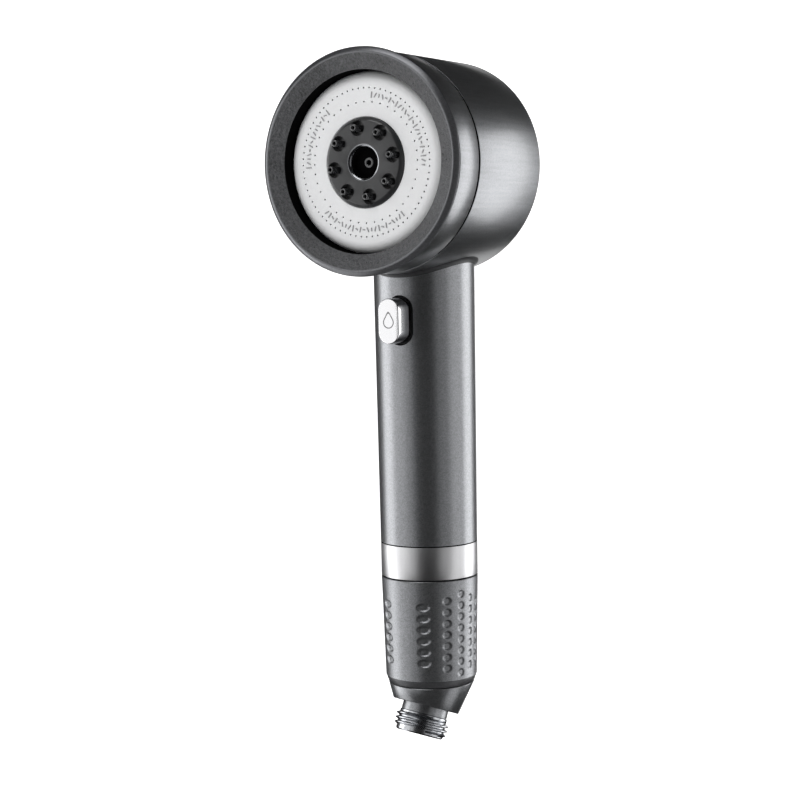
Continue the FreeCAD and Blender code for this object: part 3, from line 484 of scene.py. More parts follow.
def handle_coat():
    return coat("Gunmetal coat, handle", colours().gunmetal, 0.33, 0.42, 0.1, (1.0, 1.0, 0.2), 0.92,
                bump=0.04, coat=0.2, coat_roughness=0.2)


# Painted shade: a darker copy of the rim coat, standing in for the shadow where the handle meets the drum.
def shadow_coat():
    return coat("Shadowed fillet", colours().rim * 0.6, 0.5, 0.2, 0.05, (1.0, 1.0, 1.0), 0.6, bump=0.03)


def grip_coat():
    return coat("Matte grip coat", colours().grip, 0.38, 0.5, 0.08, (1.0, 1.0, 0.6), 0.92, bump=0.06)


def silver_coat():
    return coat("Satin silver", colours().trim, 0.36, 0.05, 0.12, (1.0, 1.0, 0.05), 1.0, bump=0.01)


def chrome_plate():
    return coat("Bright plating", colours().chrome, 0.1, 0.02, 0.03, (1.0, 1.0, 1.0), 1.0, bump=0.005)


def rim_coat():
    return coat("Rim coat", colours().rim * 1.9, 0.3, 0.3, 0.05, (1.0, 1.0, 1.0), 0.75, bump=0.06)


def dish_coat():
    return moulded("Dished ring", colours().rim * 0.9, 0.45, 3.2, 1100.0, 0.2, bump=1.0, bump_reach=0.5 * MM)


def plate_plastic():
    return moulded("Pale plate", colours().plate, 0.42, 0.06, 1600.0, bump=0.04)


def mark_ink():
    return moulded("Grey marks", colours().marks, 0.45, 0.1, 1600.0, bump=0.03)


def insert_plastic():
    return moulded("Dark insert", colours().insert * 0.6, 0.3, 0.2, 1400.0, bump=0.03, coat=0.1)


def seal_rubber():
    return moulded("Black rubber", colours().rubber, 0.6, 0.2, 1200.0, bump=0.1, specular=0.15)


# Painted shade: a near-black, unshiny finish standing in for the shadow inside seams, bores and recesses.
def recess_shade_black():
    return moulded("Painted recess shade", colours().rubber * 0.15, 0.8, 0.2, 1200.0, bump=0.02, specular=0.0)


# Painted highlight: a lighter, glossier metallic coat than the dark insert, so the flare round the bore shows
# a bright lip.
def lip_highlight_coat():
    return coat("Painted lip highlight", colours().gunmetal, 0.16, 0.05, 0.02, (1.0, 1.0, 1.0), 1.0, bump=0.01)


def end_ring_coat():
    return coat("Dark end ring", colours().rim, 0.4, 0.3, 0.05, (1.0, 1.0, 1.0), 0.6, bump=0.05)


# Painted highlight: a brighter copy of the gunmetal coat, so the thread's crests show stronger highlights.
def thread_highlight_coat():
    return coat("Painted thread highlight", colours().gunmetal * 1.9, 0.24, 0.1, 0.02, (1.0, 1.0, 1.0), 1.0, bump=0.02)


def steel():
    return coat("Stainless steel", (0.58, 0.58, 0.59), 0.25, 0.04, 0.1, (1.0, 1.0, 1.0), 1.0, bump=0.01)


def nozzle_rubber():
    return moulded("Nozzle silicone", colours().insert * 0.9, 0.2, 0.15, 1200.0, bump=0.02, coat=0.8)


# ---- the pieces ----------------------------------------------------------------------------

def drum_reach(spot):
    """Distance of a spot from the drum's axis."""
    return math.hypot(spot.x, spot.z - HEAD_HEIGHT)


def handle_reach(height):
    """Radius of the handle's outside at a height."""
    return sizes().handle_radius + sizes().handle_taper * height


def smooth_step(value):
    value = min(max(value, 0.0), 1.0)
    return value * value * (3 - 2 * value)


class SHOWER_OT_housing(bpy.types.Operator):
    """Drum barrel and handle in one moulding, with the button's window"""

    bl_idname = "shower.housing"
    bl_label = "Housing"

    def execute(self, context):
        size = sizes()
        front, back = HOUSING[0].y + 0.35 * MM, HOUSING[1].y
        wall = 2.4 * MM
        bore = DRUM_RADIUS - wall
        bm = revolve(((bore, front), (DRUM_RADIUS, front), (DRUM_RADIUS, back), (0.0, back),
                      (0.0, back - wall), (bore, back - wall)))
        soften(bm, size.back_round, lambda spot: spot.y > back - NEAR, segments=4)
        soften(bm, size.seam_round, lambda spot: spot.y < front + NEAR)
        housing = piece("housing_skin", bm)
        top = HEAD_HEIGHT - DRUM_RADIUS * 0.5
        inner = 2.6 * MM
        bm = revolve(((handle_reach(0) - inner, 0.0), (handle_reach(0), 0.0), (handle_reach(top), top),
                      (handle_reach(top) - inner, top)), "handle")
        bmesh.ops.bisect_edges(bm, edges=[edge for edge in bm.edges if edge.calc_length() > top * 0.9],
                               cuts=1)
        handle = piece("handle_part", bm)
        hollow = bmesh.new()
        prism(hollow, [(0, HEAD_HEIGHT)], bore, front, back - wall, ROUND_STEPS)
        carve(handle, piece("hollow_tool", hollow))
        carve(housing, handle, "UNION")
        window = bmesh.new()
        window_front, window_back = -50 * MM, -10 * MM
        stadium_block(window, BEZEL[1].x - BEZEL[0].x, BEZEL[1].z - BEZEL[0].z, window_front, window_back, 32)
        carve(housing, piece("window_tool", window))
        bm = bmesh.new()
        bm.from_mesh(housing.data)
        bmesh.ops.remove_doubles(bm, verts=bm.verts, dist=2e-6)
        bm.to_mesh(housing.data)
        bm.free()
        smooth_item(housing, 28)
        settle(housing, "head", "gunmetal", drum_coat(), "housing")
        under = HEAD_HEIGHT - DRUM_RADIUS * 0.8
        paint(housing, handle_coat(), lambda spot: drum_reach(spot) > DRUM_RADIUS * 1.001 and spot.z < under)
        # Painted shade: the drum's front face and bore, seen through the seams, are painted black.
        paint_recess_shade(housing, lambda spot: drum_reach(spot) < DRUM_RADIUS - SEAM_DEPTH and spot.y < back - 2 * MM
               and spot.z > under)
        return {"FINISHED"}


class SHOWER_OT_saddle(bpy.types.Operator):
    """Small fillet that blends the handle into the drum"""

    bl_idname = "shower.saddle"
    bl_label = "Saddle fillet"

    def execute(self, context):
        reach = sizes().saddle_round
        steps = 160
        bm = bmesh.new()
        rows = []
        for index in range(steps):
            turn = math.tau * index / steps
            base = handle_reach(HEAD_HEIGHT - DRUM_RADIUS)
            x, y = base * math.cos(turn), base * math.sin(turn)
            crown = Vector((x, y, HEAD_HEIGHT - math.sqrt(DRUM_RADIUS ** 2 - x * x)))
            low = crown - Vector((0, 0, reach))
            out_x, out_y = x * (1 + reach / base), y * (1 + reach / base)
            high = Vector((out_x, out_y, HEAD_HEIGHT - math.sqrt(DRUM_RADIUS ** 2 - out_x ** 2)))
            sunk = crown + Vector((-x, -y, 0)) * (0.4 * MM / base) + Vector((0, 0, 0.4 * MM))
            points = [low + Vector((-x, -y, 0)) * (0.08 * MM / base)]
            for part in (0.0, 0.25, 0.5, 0.75, 1.0):
                points.append(low.lerp(crown, part).lerp(crown.lerp(high, part), part))
            points += [high + Vector((0, 0, 0.08 * MM)), sunk]
            rows.append([bm.verts.new(point) for point in points])
        for row in rows:
            loop_of(bm, row)
        for one, other in zip(rows, rows[1:] + rows[:1]):
            loops = [edge for row in (one, other) for vert in row for edge in vert.link_edges
                     if edge.other_vert(vert) in row]
            bmesh.ops.bridge_loops(bm, edges=list(dict.fromkeys(loops)))
        back = HOUSING[1].y
        bmesh.ops.bisect_plane(bm, geom=bm.verts[:] + bm.edges[:] + bm.faces[:], dist=1e-7,
                               plane_co=(0, back - 0.1 * MM, 0), plane_no=(0, 1, 0), clear_outer=True)
        bmesh.ops.holes_fill(bm, edges=[edge for edge in bm.edges if edge.is_boundary], sides=0)
        bmesh.ops.recalc_face_normals(bm, faces=bm.faces)
        # Painted shade: the fillet takes the darker shadow coat.
        settle(piece("saddle_fillet", bm), "head", "gunmetal", shadow_coat(), "housing")
        return {"FINISHED"}


class SHOWER_OT_collar(bpy.types.Operator):
    """Band between the two seams of the drum"""

    bl_idname = "shower.collar"
    bl_label = "Front collar"

    def execute(self, context):
        front = COLLAR[0].y + 0.7 * MM
        back = HOUSING[0].y - 0.85 * MM
        bore = DRUM_RADIUS - 2.5 * MM
        lip, lip_front = bore - 1.6 * MM, back - 1.1 * MM
        bm = revolve(((bore, front), (DRUM_RADIUS, front), (DRUM_RADIUS, back), (bore, back),
                      (bore, COLLAR[1].y), (lip, COLLAR[1].y), (lip, lip_front), (bore, lip_front)))
        soften(bm, sizes().seam_round, lambda spot: drum_reach(spot) > DRUM_RADIUS - NEAR)
        collar = settle(piece("collar_skin", bm), "head", "gunmetal", drum_coat(), "front_collar")
        # Painted shade: the collar's faces inside the seams are painted black.
        paint_recess_shade(collar, lambda spot: drum_reach(spot) < DRUM_RADIUS - SEAM_DEPTH)
        return {"FINISHED"}


class SHOWER_OT_dial_ring(bpy.types.Operator):
    """Turning rim with its dished inside"""

    bl_idname = "shower.dial_ring"
    bl_label = "Dial ring"

    def execute(self, context):
        size = sizes()
        crest, land = RIM[0].y, COLLAR[0].y - MM
        plate = PLATE[1].y - 1.2 * MM
        skirt = DRUM_RADIUS - 2.58 * MM
        inner = PLATE[1].x + 0.1 * MM
        bm = revolve(((size.dish_radius, crest), (RIM_RADIUS - size.rim_edge_width, crest),
                      (RIM_RADIUS, crest + size.rim_edge_depth), (RIM_RADIUS, land), (skirt, land),
                      (skirt, RIM[1].y), (inner, RIM[1].y), (inner, plate), (size.plate_radius, plate),
                      (size.plate_radius, crest + size.dish_depth)))
        soften(bm, size.edge_round, lambda spot: spot.y < land - 0.05 * MM, 15, 3)
        ring = piece("dial_ring_skin", bm, 30)
        settle(ring, "dial", "rim_grey", rim_coat(), "dial_ring")
        paint(ring, dish_coat(), lambda spot: drum_reach(spot) < size.dish_radius - 0.1 * MM)
        # Painted shade: the recess wall round the plate and the skirt's inner faces are painted black.
        paint_recess_shade(ring, lambda spot: drum_reach(spot) < size.plate_radius + NEAR
               or spot.y > crest + 2 * MM and drum_reach(spot) < DRUM_RADIUS - MM)
        return {"FINISHED"}


class SHOWER_OT_spray_plate(bpy.types.Operator):
    """Pale plate with two rings of fine holes"""

    bl_idname = "shower.spray_plate"
    bl_label = "Spray plate"

    def execute(self, context):
        size = sizes()
        front, back = PLATE[0].y, PLATE[1].y
        border = back - 1.2 * MM
        bore = size.insert_radius + 0.1 * MM
        lip, thick = 0.2 * MM, 1.5 * MM
        reach = size.plate_radius - 0.1 * MM - size.plate_flat
        outline = [(bore, front + lip), (bore + lip, front)]
        inside = []
        for index in range(14):
            turn = math.radians(80) * index / 13
            radius = size.plate_flat + reach * math.sin(turn)
            fall = (border - front) * (1 - math.cos(turn))
            outline.append((radius, front + fall))
            inside.insert(0, (radius - 1.2 * MM, front + thick + fall))
        outline += [(size.plate_flat + reach, border), (PLATE[1].x, border), (PLATE[1].x, back),
                    (size.plate_flat + reach - 1.3 * MM, back)]
        plate = piece("spray_plate_skin", revolve(outline + inside + [(bore, front + thick)]))
        holes = bmesh.new()
        places = ring_places(size.outer_holes, size.outer_circle)
        places += ring_places(size.inner_holes, size.inner_circle)
        prism(holes, places, size.spray_hole, front - MM, front + 3 * MM)
        carve(plate, piece("hole_tool", holes))
        smooth_item(plate, 30)
        settle(plate, "dial", "pale_plate", plate_plastic(), "spray_plate")
        return {"FINISHED"}


class SHOWER_OT_mode_marks(bpy.types.Operator):
    """Three arcs of raised plain strokes between the rings of holes, one for each spray mode"""

    bl_idname = "shower.mode_marks"
    bl_label = "Mode marks"

    def execute(self, context):
        size = sizes()
        middle = (size.outer_circle + size.inner_circle) / 2
        pitch = 1.6 * MM / middle
        shapes = ((2.2, 0), (1.8, 24), (1.3, 0), (1.8, -24), (1.0, 90), (2.0, 10), (1.2, -60))
        bm = bmesh.new()
        for start, end in MARK_ARCS:
            count = int(math.radians(end - start) / pitch)
            for index in range(count):
                turn = math.radians((start + end) / 2) + (index - (count - 1) / 2) * pitch
                tall, lean = shapes[index % len(shapes)]
                spot = Matrix.Translation((0, 0, HEAD_HEIGHT)) @ Matrix.Rotation(turn, 4, "Y")
                spot = spot @ Matrix.Translation((0, PLATE[0].y - size.mark_height / 2 + 0.05 * MM, middle))
                spot = spot @ Matrix.Rotation(math.radians(lean), 4, "Y")
                shape = Matrix.Diagonal((0.4 * MM, size.mark_height + 0.1 * MM, tall * MM, 1))
                bmesh.ops.create_cube(bm, size=1.0, matrix=spot @ shape)
        bevel(bm, bm.edges[:], 0.08 * MM, 2, clamp=False)
        settle(piece("mode_marks", bm), "dial", "pale_plate", mark_ink())
        return {"FINISHED"}


class SHOWER_OT_nozzle_insert(bpy.types.Operator):
    """Dark insert with a pit round each nozzle and a flared centre bore"""

    bl_idname = "shower.nozzle_insert"
    bl_label = "Nozzle insert"

    def execute(self, context):
        size = sizes()
        front, back, step = INSERT[0].y, INSERT[1].y, INSERT[1].y - 1.2 * MM
        flange = INSERT[1].x
        flare = size.mouth_flare
        outline = [(size.insert_radius, step), (flange, step), (flange, back), (size.mouth_radius, back)]
        for index in range(7):
            turn = math.pi / 2 * index / 6
            outline.append((size.mouth_radius + flare * (1 - math.cos(turn)),
                            front + size.mouth_depth * (1 - math.sin(turn))))
        outline += [(size.insert_radius - size.insert_bevel, front),
                    (size.insert_radius, front + size.insert_bevel * 0.9)]
        bm = revolve(outline)
        rim = size.insert_radius - size.insert_bevel - NEAR
        soften(bm, size.edge_round, lambda spot: drum_reach(spot) > rim and spot.y < front + 2 * MM,
               segments=3)
        insert = piece("nozzle_insert_skin", bm)
        places = ring_places(NOZZLES, size.nozzle_circle, size.nozzle_turn)
        for reach, low, high in ((size.pit_radius, front - MM, front + size.pit_depth),
                                 (size.nozzle_radius + 0.05 * MM, front + size.pit_depth - MM, back + MM)):
            pits = bmesh.new()
            prism(pits, places, reach, low, high, SMALL_STEPS)
            carve(insert, piece("pit_tool", pits))
        bm = bmesh.new()
        bm.from_mesh(insert.data)
        bmesh.ops.remove_doubles(bm, verts=bm.verts, dist=2e-6)
        brims = []
        for edge in bm.edges:
            middle = (edge.verts[0].co + edge.verts[1].co) / 2
            near = min(math.hypot(middle.x - x, middle.z - z) for x, z in places)
            if abs(middle.y - front) < NEAR and abs(near - size.pit_radius) < 0.05 * MM:
                brims.append(edge)
        bevel(bm, brims, 0.35 * MM, 3)
        bm.to_mesh(insert.data)
        bm.free()
        smooth_item(insert, 35)
        settle(insert, "dial", "insert_dark", insert_plastic(), "nozzle_insert")
        # Painted shade: the walls of the centre bore are painted black.
        paint_recess_shade(insert, lambda spot: drum_reach(spot) < size.mouth_radius + 0.3 * MM)
        # Painted highlight: the flare round the centre bore takes the lighter lip coat.
        paint(insert, lip_highlight_coat(), lambda spot: spot.y > front + 0.02 * MM
              and 0.3 * MM < drum_reach(spot) - size.mouth_radius < flare)
        return {"FINISHED"}


class SHOWER_OT_nozzle_mat(bpy.types.Operator):
    """Soft nozzles with round lips, standing on one membrane"""

    bl_idname = "shower.nozzle_mat"
    bl_label = "Nozzle mat"

    def execute(self, context):
        size = sizes()
        tip, back = MAT[0].y, MAT[1].y
        face = INSERT[1].y
        reach, bore = size.nozzle_radius, size.nozzle_bore
        lip = 0.3 * MM
        hole = 2.05 * MM
        bm = revolve(((hole, face), (size.mouth_radius + 0.5 * MM, face), (MAT[1].x, face),
                      (MAT[1].x, back), (hole, back)), steps=96)
        for x, z in ring_places(NOZZLES, size.nozzle_circle, size.nozzle_turn):
            shift = Vector((x, 0, z - HEAD_HEIGHT))
            outline = [(bore, back - 0.1 * MM), (bore, tip + lip)]
            for index in range(1, 7):
                turn = math.pi * index / 7
                across = (reach + bore) / 2 - (reach - bore) / 2 * math.cos(turn)
                outline.append((across, tip + lip - lip * math.sin(turn)))
            outline += [(reach, tip + lip), (reach, back - 0.1 * MM)]
            one = revolve(outline, steps=SMALL_STEPS)
            bmesh.ops.translate(one, verts=one.verts, vec=shift)
            mesh = bpy.data.meshes.new("nozzle_part")
            one.to_mesh(mesh)
            one.free()
            bm.from_mesh(mesh)
            bpy.data.meshes.remove(mesh)
        mat = settle(piece("nozzle_mat_skin", bm), "dial", "nozzle_rubber", nozzle_rubber(), "nozzle_mat")
        # Painted shade: the membrane behind the centre bore is painted black.
        paint_recess_shade(mat, lambda spot: drum_reach(spot) < size.mouth_radius + MM)
        return {"FINISHED"}


class SHOWER_OT_centre_jet(bpy.types.Operator):
    """Small tube down the insert's centre bore"""

    bl_idname = "shower.centre_jet"
    bl_label = "Centre jet"

    def execute(self, context):
        tip, back = JET[0].y, JET[1].y
        head = JET[1].x
        neck = tip + 1.7 * MM
        stem = neck + 1.7 * MM
        bore, tube, shank, floor = 0.9 * MM, 1.95 * MM, 2.5 * MM, tip + 2.5 * MM
        bm = revolve(((bore, tip), (tube, tip), (tube, neck), (head, neck), (head, stem), (shank, stem),
                      (shank, back), (0.0, back), (0.0, floor), (bore, floor)), steps=64)
        soften(bm, 0.25 * MM, lambda spot: spot.y < tip + NEAR, 60, 3)
        jet = settle(piece("centre_jet_skin", bm), "head", "jet_metal", nozzle_rubber(), "centre_jet")
        # Painted shade: the jet is painted black but for its tip, where it lies down the bore.
        paint_recess_shade(jet, lambda spot: drum_reach(spot) > 2.0 * MM or spot.y > tip + MM)
        return {"FINISHED"}


class SHOWER_OT_button(bpy.types.Operator):
    """Bright stop button with a rounded face and an engraved drop"""

    bl_idname = "shower.button"
    bl_label = "Stop button"

    def execute(self, context):
        size = sizes()
        front, back = BUTTON[0].y, BUTTON[1].y
        width, tall = BUTTON[1].x - BUTTON[0].x, BUTTON[1].z - BUTTON[0].z
        bm = bmesh.new()
        stadium_block(bm, width, tall, front, back)
        brim = [edge for edge in bm.edges if all(abs(vert.co.y - front) < 1e-6 for vert in edge.verts)]
        bevel(bm, brim, size.button_round, 6)
        bmesh.ops.recalc_face_normals(bm, faces=bm.faces)
        button = piece("button_skin", bm)
        wall, post_radius = 1.2 * MM, 2.2 * MM
        inside = bmesh.new()
        stadium_block(inside, width - 2 * wall, tall - 2 * wall, front + wall, back + MM)
        hollow = piece("hollow_tool", inside)
        post = bmesh.new()
        prism(post, [(0.0, BUTTON_HEIGHT)], post_radius, front, back + 2 * MM)
        carve(hollow, piece("post_tool", post))
        carve(button, hollow)
        groove = bmesh.new()
        drop, line = 2.1 * MM, 0.42 * MM
        for reach in (drop + line / 2, drop - line / 2):
            points = []
            for index in range(32):
                turn = math.tau * index / 32
                pull = 1 + 0.75 * max(math.cos(turn), 0.0) ** 6
                points.append(groove.verts.new((reach * math.sin(turn), front - MM,
                                                BUTTON_HEIGHT - 0.4 * MM + reach * pull * math.cos(turn))))
            loop_of(groove, points)
        faces = bmesh.ops.bridge_loops(groove, edges=groove.edges[:])["faces"]
        push(groove, faces, (0, MM + 0.15 * MM, 0))
        carve(button, piece("groove_tool", groove))
        smooth_item(button, 35)
        settle(button, "button", "bright_chrome", chrome_plate(), "button")
        mark_reach = 3.6 * MM
        paint(button, mark_ink(), lambda spot: math.hypot(spot.x, spot.z - BUTTON_HEIGHT) < mark_reach
              and front + 0.02 * MM < spot.y < front + 0.3 * MM)
        return {"FINISHED"}


class SHOWER_OT_button_spring(bpy.types.Operator):
    """Return spring of the button, which shortens as the button goes in; here it is built as a coil of one
    fixed length.
    """

    bl_idname = "shower.button_spring"
    bl_label = "Button spring"

    def execute(self, context):
        front, back = SPRING[0].y, SPRING[1].y
        wire, travel = 0.3 * MM, 3.0 * MM
        coils = 7
        steps = coils * 24
        bm = bmesh.new()
        spot = Matrix.Translation((SPRING[1].x - wire, front + wire, BUTTON_HEIGHT))
        bmesh.ops.create_circle(bm, cap_ends=False, segments=10, radius=wire, matrix=spot)
        bmesh.ops.spin(bm, geom=bm.verts[:] + bm.edges[:], cent=(0, 0, BUTTON_HEIGHT), axis=(0, 1, 0),
                       angle=math.tau * coils, steps=steps, dvec=(0, (back - front - 2 * wire) / steps, 0),
                       use_merge=False)
        bmesh.ops.remove_doubles(bm, verts=bm.verts, dist=1e-7)
        bmesh.ops.holes_fill(bm, edges=[edge for edge in bm.edges if edge.is_boundary], sides=0)
        bmesh.ops.recalc_face_normals(bm, faces=bm.faces)
        spring = settle(piece("button_spring_coil", bm), "head", "steel", steel(), "button_spring")
        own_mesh(spring)
        return {"FINISHED"}


class SHOWER_OT_bezel(bpy.types.Operator):
    """Black seal frame round the button"""

    bl_idname = "shower.bezel"
    bl_label = "Button bezel"

    def execute(self, context):
        front, back = BEZEL[0].y, BEZEL[1].y
        width, tall = BEZEL[1].x - BEZEL[0].x, BEZEL[1].z - BEZEL[0].z
        gap = 2.2 * MM
        bm = bmesh.new()
        outer = stadium_rim(bm, width, tall, front)
        inner = stadium_rim(bm, width - gap, tall - gap, front)
        push(bm, bmesh.ops.bridge_loops(bm, edges=outer + inner)["faces"], (0, back - front, 0))
        brim = [edge for edge in bm.edges if all(abs(vert.co.y - front) < 1e-6 for vert in edge.verts)
                and edge.calc_face_angle(0.0) > 0.5]
        bevel(bm, brim, 0.25 * MM, 2)
        settle(piece("bezel_skin", bm), "head", "black_seal", seal_rubber(), "button_bezel")
        return {"FINISHED"}


class SHOWER_OT_trim_ring(bpy.types.Operator):
    """Satin silver band under the handle"""

    bl_idname = "shower.trim_ring"
    bl_label = "Trim ring"

    def execute(self, context):
        low, high, reach = TRIM[0].z, TRIM[1].z, TRIM[1].x
        bore = reach - 2.65 * MM
        gap = sizes().seam_width
        sunk = reach - 0.8 * MM
        bm = revolve(((bore, low), (sunk, low), (sunk, low + gap / 2), (reach, low + gap / 2),
                      (reach, high - gap), (sunk, high - gap), (sunk, high), (bore, high)), "handle")
        soften(bm, sizes().seam_round * 0.6, lambda spot: spot.xy.length > reach - NEAR)
        ring = settle(piece("trim_ring_skin", bm), "head", "satin_silver", silver_coat(), "trim_ring")
        # Painted shade: the sunk faces of the grooves above and below the band, and its bore, are painted
        # black.
        paint_recess_shade(ring, lambda spot: spot.xy.length < reach - SEAM_DEPTH / 2)
        return {"FINISHED"}


def dimple_places():
    """(angle, height, half width) of every dimple; the columns are the same on both sides."""
    size = sizes()
    middle = (GRIP[0].z + GRIP[1].z) / 2 - 1.4 * MM
    places = []
    for side in (1, -1):
        for degrees, count, half in DIMPLE_COLUMNS:
            turn = math.radians(DIMPLE_MIDDLE + side * degrees)
            for index in range(count):
                height = middle + (index - (count - 1) / 2) * size.dimple_pitch
                places.append((turn, height, half * MM))
    return places


class SHOWER_OT_filter_grip(bpy.types.Operator):
    """Lower grip with its columns of pressed dimples"""

    bl_idname = "shower.filter_grip"
    bl_label = "Filter grip"

    def execute(self, context):
        size = sizes()
        low, high = GRIP[0].z, GRIP[1].z
        top, foot = GRIP[1].x, END_RING[1].x
        bore, passage, floor = 15.05 * MM, 10.58 * MM, low + 3.3 * MM
        rows, steps = 150, 420
        outline = [(foot + (top - foot) * index / rows, low + (high - low) * index / rows)
                   for index in range(rows + 1)]
        outline[-1:] = [(top, high - 0.25 * MM), (top - 0.07 * MM, high - 0.07 * MM), (top - 0.25 * MM, high)]
        outline += [(bore, high), (bore, floor), (passage, floor), (passage, low)]
        bm = revolve(outline, "handle", steps)
        places = dimple_places()
        for vert in bm.verts:
            reach = math.hypot(vert.co.x, vert.co.y)
            if reach < foot - 0.5 * MM:
                continue
            turn = math.atan2(vert.co.y, vert.co.x)
            sink = 0.0
            for angle, height, half in places:
                up = (vert.co.z - height) / size.dimple_tall
                if abs(up) > 1.25:
                    continue
                away = (turn - angle + math.pi) % math.tau - math.pi
                across = away * reach / half
                far = math.hypot(across, up)
                if far < 1.25:
                    sink = max(sink, 1 - smooth_step((far - 0.55) / 0.5))
            if sink:
                scale = 1 - size.dimple_depth * sink / reach
                vert.co.x *= scale
                vert.co.y *= scale
        settle(piece("filter_grip_skin", bm, 50), "grip", "grip_grey", grip_coat(), "filter_grip")
        return {"FINISHED"}


class SHOWER_OT_end_ring(bpy.types.Operator):
    """Dark chamfered ring under the grip"""

    bl_idname = "shower.end_ring"
    bl_label = "End ring"

    def execute(self, context):
        low, high = END_RING[0].z, END_RING[1].z
        bore, reach = 11.0 * MM, END_RING[1].x - 0.15 * MM
        bm = revolve(((bore, low), (FOOT_RADIUS, low), (reach, high - 0.25 * MM), (reach, high),
                      (bore, high)), "handle")
        soften(bm, 0.2 * MM, lambda spot: spot.xy.length > FOOT_RADIUS - NEAR, 20)
        settle(piece("end_ring_skin", bm), "grip", "dark_trim", end_ring_coat(), "grip_end_ring")
        return {"FINISHED"}


class SHOWER_OT_inlet_elbow(bpy.types.Operator):
    """Slanted inlet with its neck and right-handed hose thread"""

    bl_idname = "shower.inlet_elbow"
    bl_label = "Inlet elbow"

    def execute(self, context):
        size = sizes()
        lean = Vector((0, 0, -1)).rotation_difference(INLET_AXIS).to_matrix().to_4x4()
        along = Matrix.Translation(PIVOT) @ lean
        total = (BORE_END - PIVOT).length
        reach, low_radius, neck = 9.3 * MM, 13.0 * MM, 9.0 * MM
        top = END_RING[0].z - 0.3 * MM
        bm = bmesh.new()
        upper = bmesh.ops.create_circle(bm, cap_ends=False, segments=ROUND_STEPS, radius=FOOT_RADIUS,
                                        matrix=Matrix.Translation((0, 0, top)))["verts"]
        lower = bmesh.ops.create_circle(bm, cap_ends=False, segments=ROUND_STEPS, radius=low_radius,
                                        matrix=along @ Matrix.Translation((0, 0, -reach)))["verts"]
        bmesh.ops.bridge_loops(bm, edges=bm.edges[:])
        bmesh.ops.contextual_create(bm, geom=upper)
        bmesh.ops.contextual_create(bm, geom=lower)
        bmesh.ops.recalc_face_normals(bm, faces=bm.faces)
        soften(bm, size.edge_round, segments=3)
        body = piece("inlet_elbow_skin", bm, 30)
        root = THREAD_RADIUS - size.thread_depth
        start = reach + 3.4 * MM
        stub = revolve(((BORE_RADIUS, -total), (root - 0.5 * MM, -total), (root, -total + 0.5 * MM),
                        (root, -start), (neck, -start + 0.3 * MM), (neck, -reach + 2 * MM),
                        (BORE_RADIUS, -reach + 2 * MM)), "handle", 128)
        bmesh.ops.transform(stub, matrix=along, verts=stub.verts)
        neck_part = piece("neck_part", stub)
        seat, water_way = -9 * MM, 6.2 * MM
        bore = revolve(((0, -total - MM), (BORE_RADIUS, -total - MM), (BORE_RADIUS, seat),
                        (water_way, seat), (water_way, -2 * MM), (0, -2 * MM)), "handle", 96)
        bmesh.ops.transform(bore, matrix=along, verts=bore.verts)
        carve(body, neck_part, "UNION")
        carve(body, piece("bore_tool", bore))
        ridge = self.thread(along, root, start, total)
        bm = bmesh.new()
        bm.from_mesh(body.data)
        bm.from_mesh(ridge.data)
        bmesh.ops.remove_doubles(bm, verts=bm.verts, dist=1e-6)
        bpy.data.objects.remove(ridge)
        bm.to_mesh(body.data)
        bm.free()
        smooth_item(body, 32)
        settle(body, "inlet", "gunmetal", handle_coat(), "inlet_elbow")
        back = along.inverted()
        thread_top = -start + 0.2 * MM
        # Painted highlight: the thread takes the brighter copy of the gunmetal coat.
        paint(body, thread_highlight_coat(), lambda spot: (back @ spot).z < thread_top
              and (back @ spot).xy.length < 12 * MM)
        return {"FINISHED"}

    def thread(self, along, root, start, total):
        """One right-handed ridge, wound round the root and fading into it at both ends."""
        size = sizes()
        pitch = size.thread_pitch
        turns = (total - start - 1.2 * MM) / pitch - 0.5
        per_turn = 96
        steps = int(turns * per_turn)
        half = pitch * 0.42
        tip = 0.16 * MM
        bm = bmesh.new()
        base = -start - pitch * 0.45
        outline = ((root - 0.2 * MM, half), (root, half), (THREAD_RADIUS, tip), (THREAD_RADIUS, -tip),
                   (root, -half), (root - 0.2 * MM, -half))
        points = [bm.verts.new((reach, 0, base + height)) for reach, height in outline]
        loop_of(bm, points)
        # a right-handed ridge comes down clockwise, seen from above
        bmesh.ops.spin(bm, geom=points + bm.edges[:], cent=(0, 0, 0), axis=(0, 0, 1),
                       angle=-math.tau * steps / per_turn, steps=steps,
                       dvec=(0, 0, -pitch / per_turn), use_merge=False)
        bmesh.ops.remove_doubles(bm, verts=bm.verts, dist=1e-7)
        bmesh.ops.holes_fill(bm, edges=[edge for edge in bm.edges if edge.is_boundary], sides=0)
        fade = 0.35
        for vert in bm.verts:
            reach = vert.co.xy.length
            if reach <= root + 1e-6:
                continue
            done = (base - vert.co.z) / pitch
            keep = min(smooth_step((done + 0.1) / fade), smooth_step((turns - done + 0.1) / fade))
            scale = (root - 0.05 * MM + (reach - root + 0.05 * MM) * keep) / reach
            vert.co.x *= scale
            vert.co.y *= scale
        bmesh.ops.recalc_face_normals(bm, faces=bm.faces)
        bmesh.ops.transform(bm, matrix=along, verts=bm.verts)
        return piece("thread_part", bm)


class SHOWER_OT_inner_parts(bpy.types.Operator):
    """Finishes for the CAD nodes that stay: seals, springs, screws, the valve and the filter"""

    bl_idname = "shower.inner_parts"
    bl_label = "Inner parts"

    def execute(self, context):
        finishes = {
            "inner_plastic": lambda: moulded("Natural plastic", (0.7, 0.69, 0.66), 0.4, 0.15, 900.0,
                                             bump=0.05),
            "seal_rubber": seal_rubber,
            "steel": steel,
            "filter_white": lambda: moulded("Wound filter", (0.86, 0.86, 0.82), 0.9, 0.6, 700.0, bump=0.8),
            "filter_plastic": lambda: moulded("Filter plastic", (0.78, 0.8, 0.82), 0.35, 0.1, 900.0,
                                              bump=0.03),
        }
        for entry in frame["record"]["subparts"]:
            make = finishes.get(entry["material_slot"])
            if make:
                item = frame["nodes"][entry["node"]]
                item.data.materials.clear()
                item.data.materials.append(make())
        return {"FINISHED"}


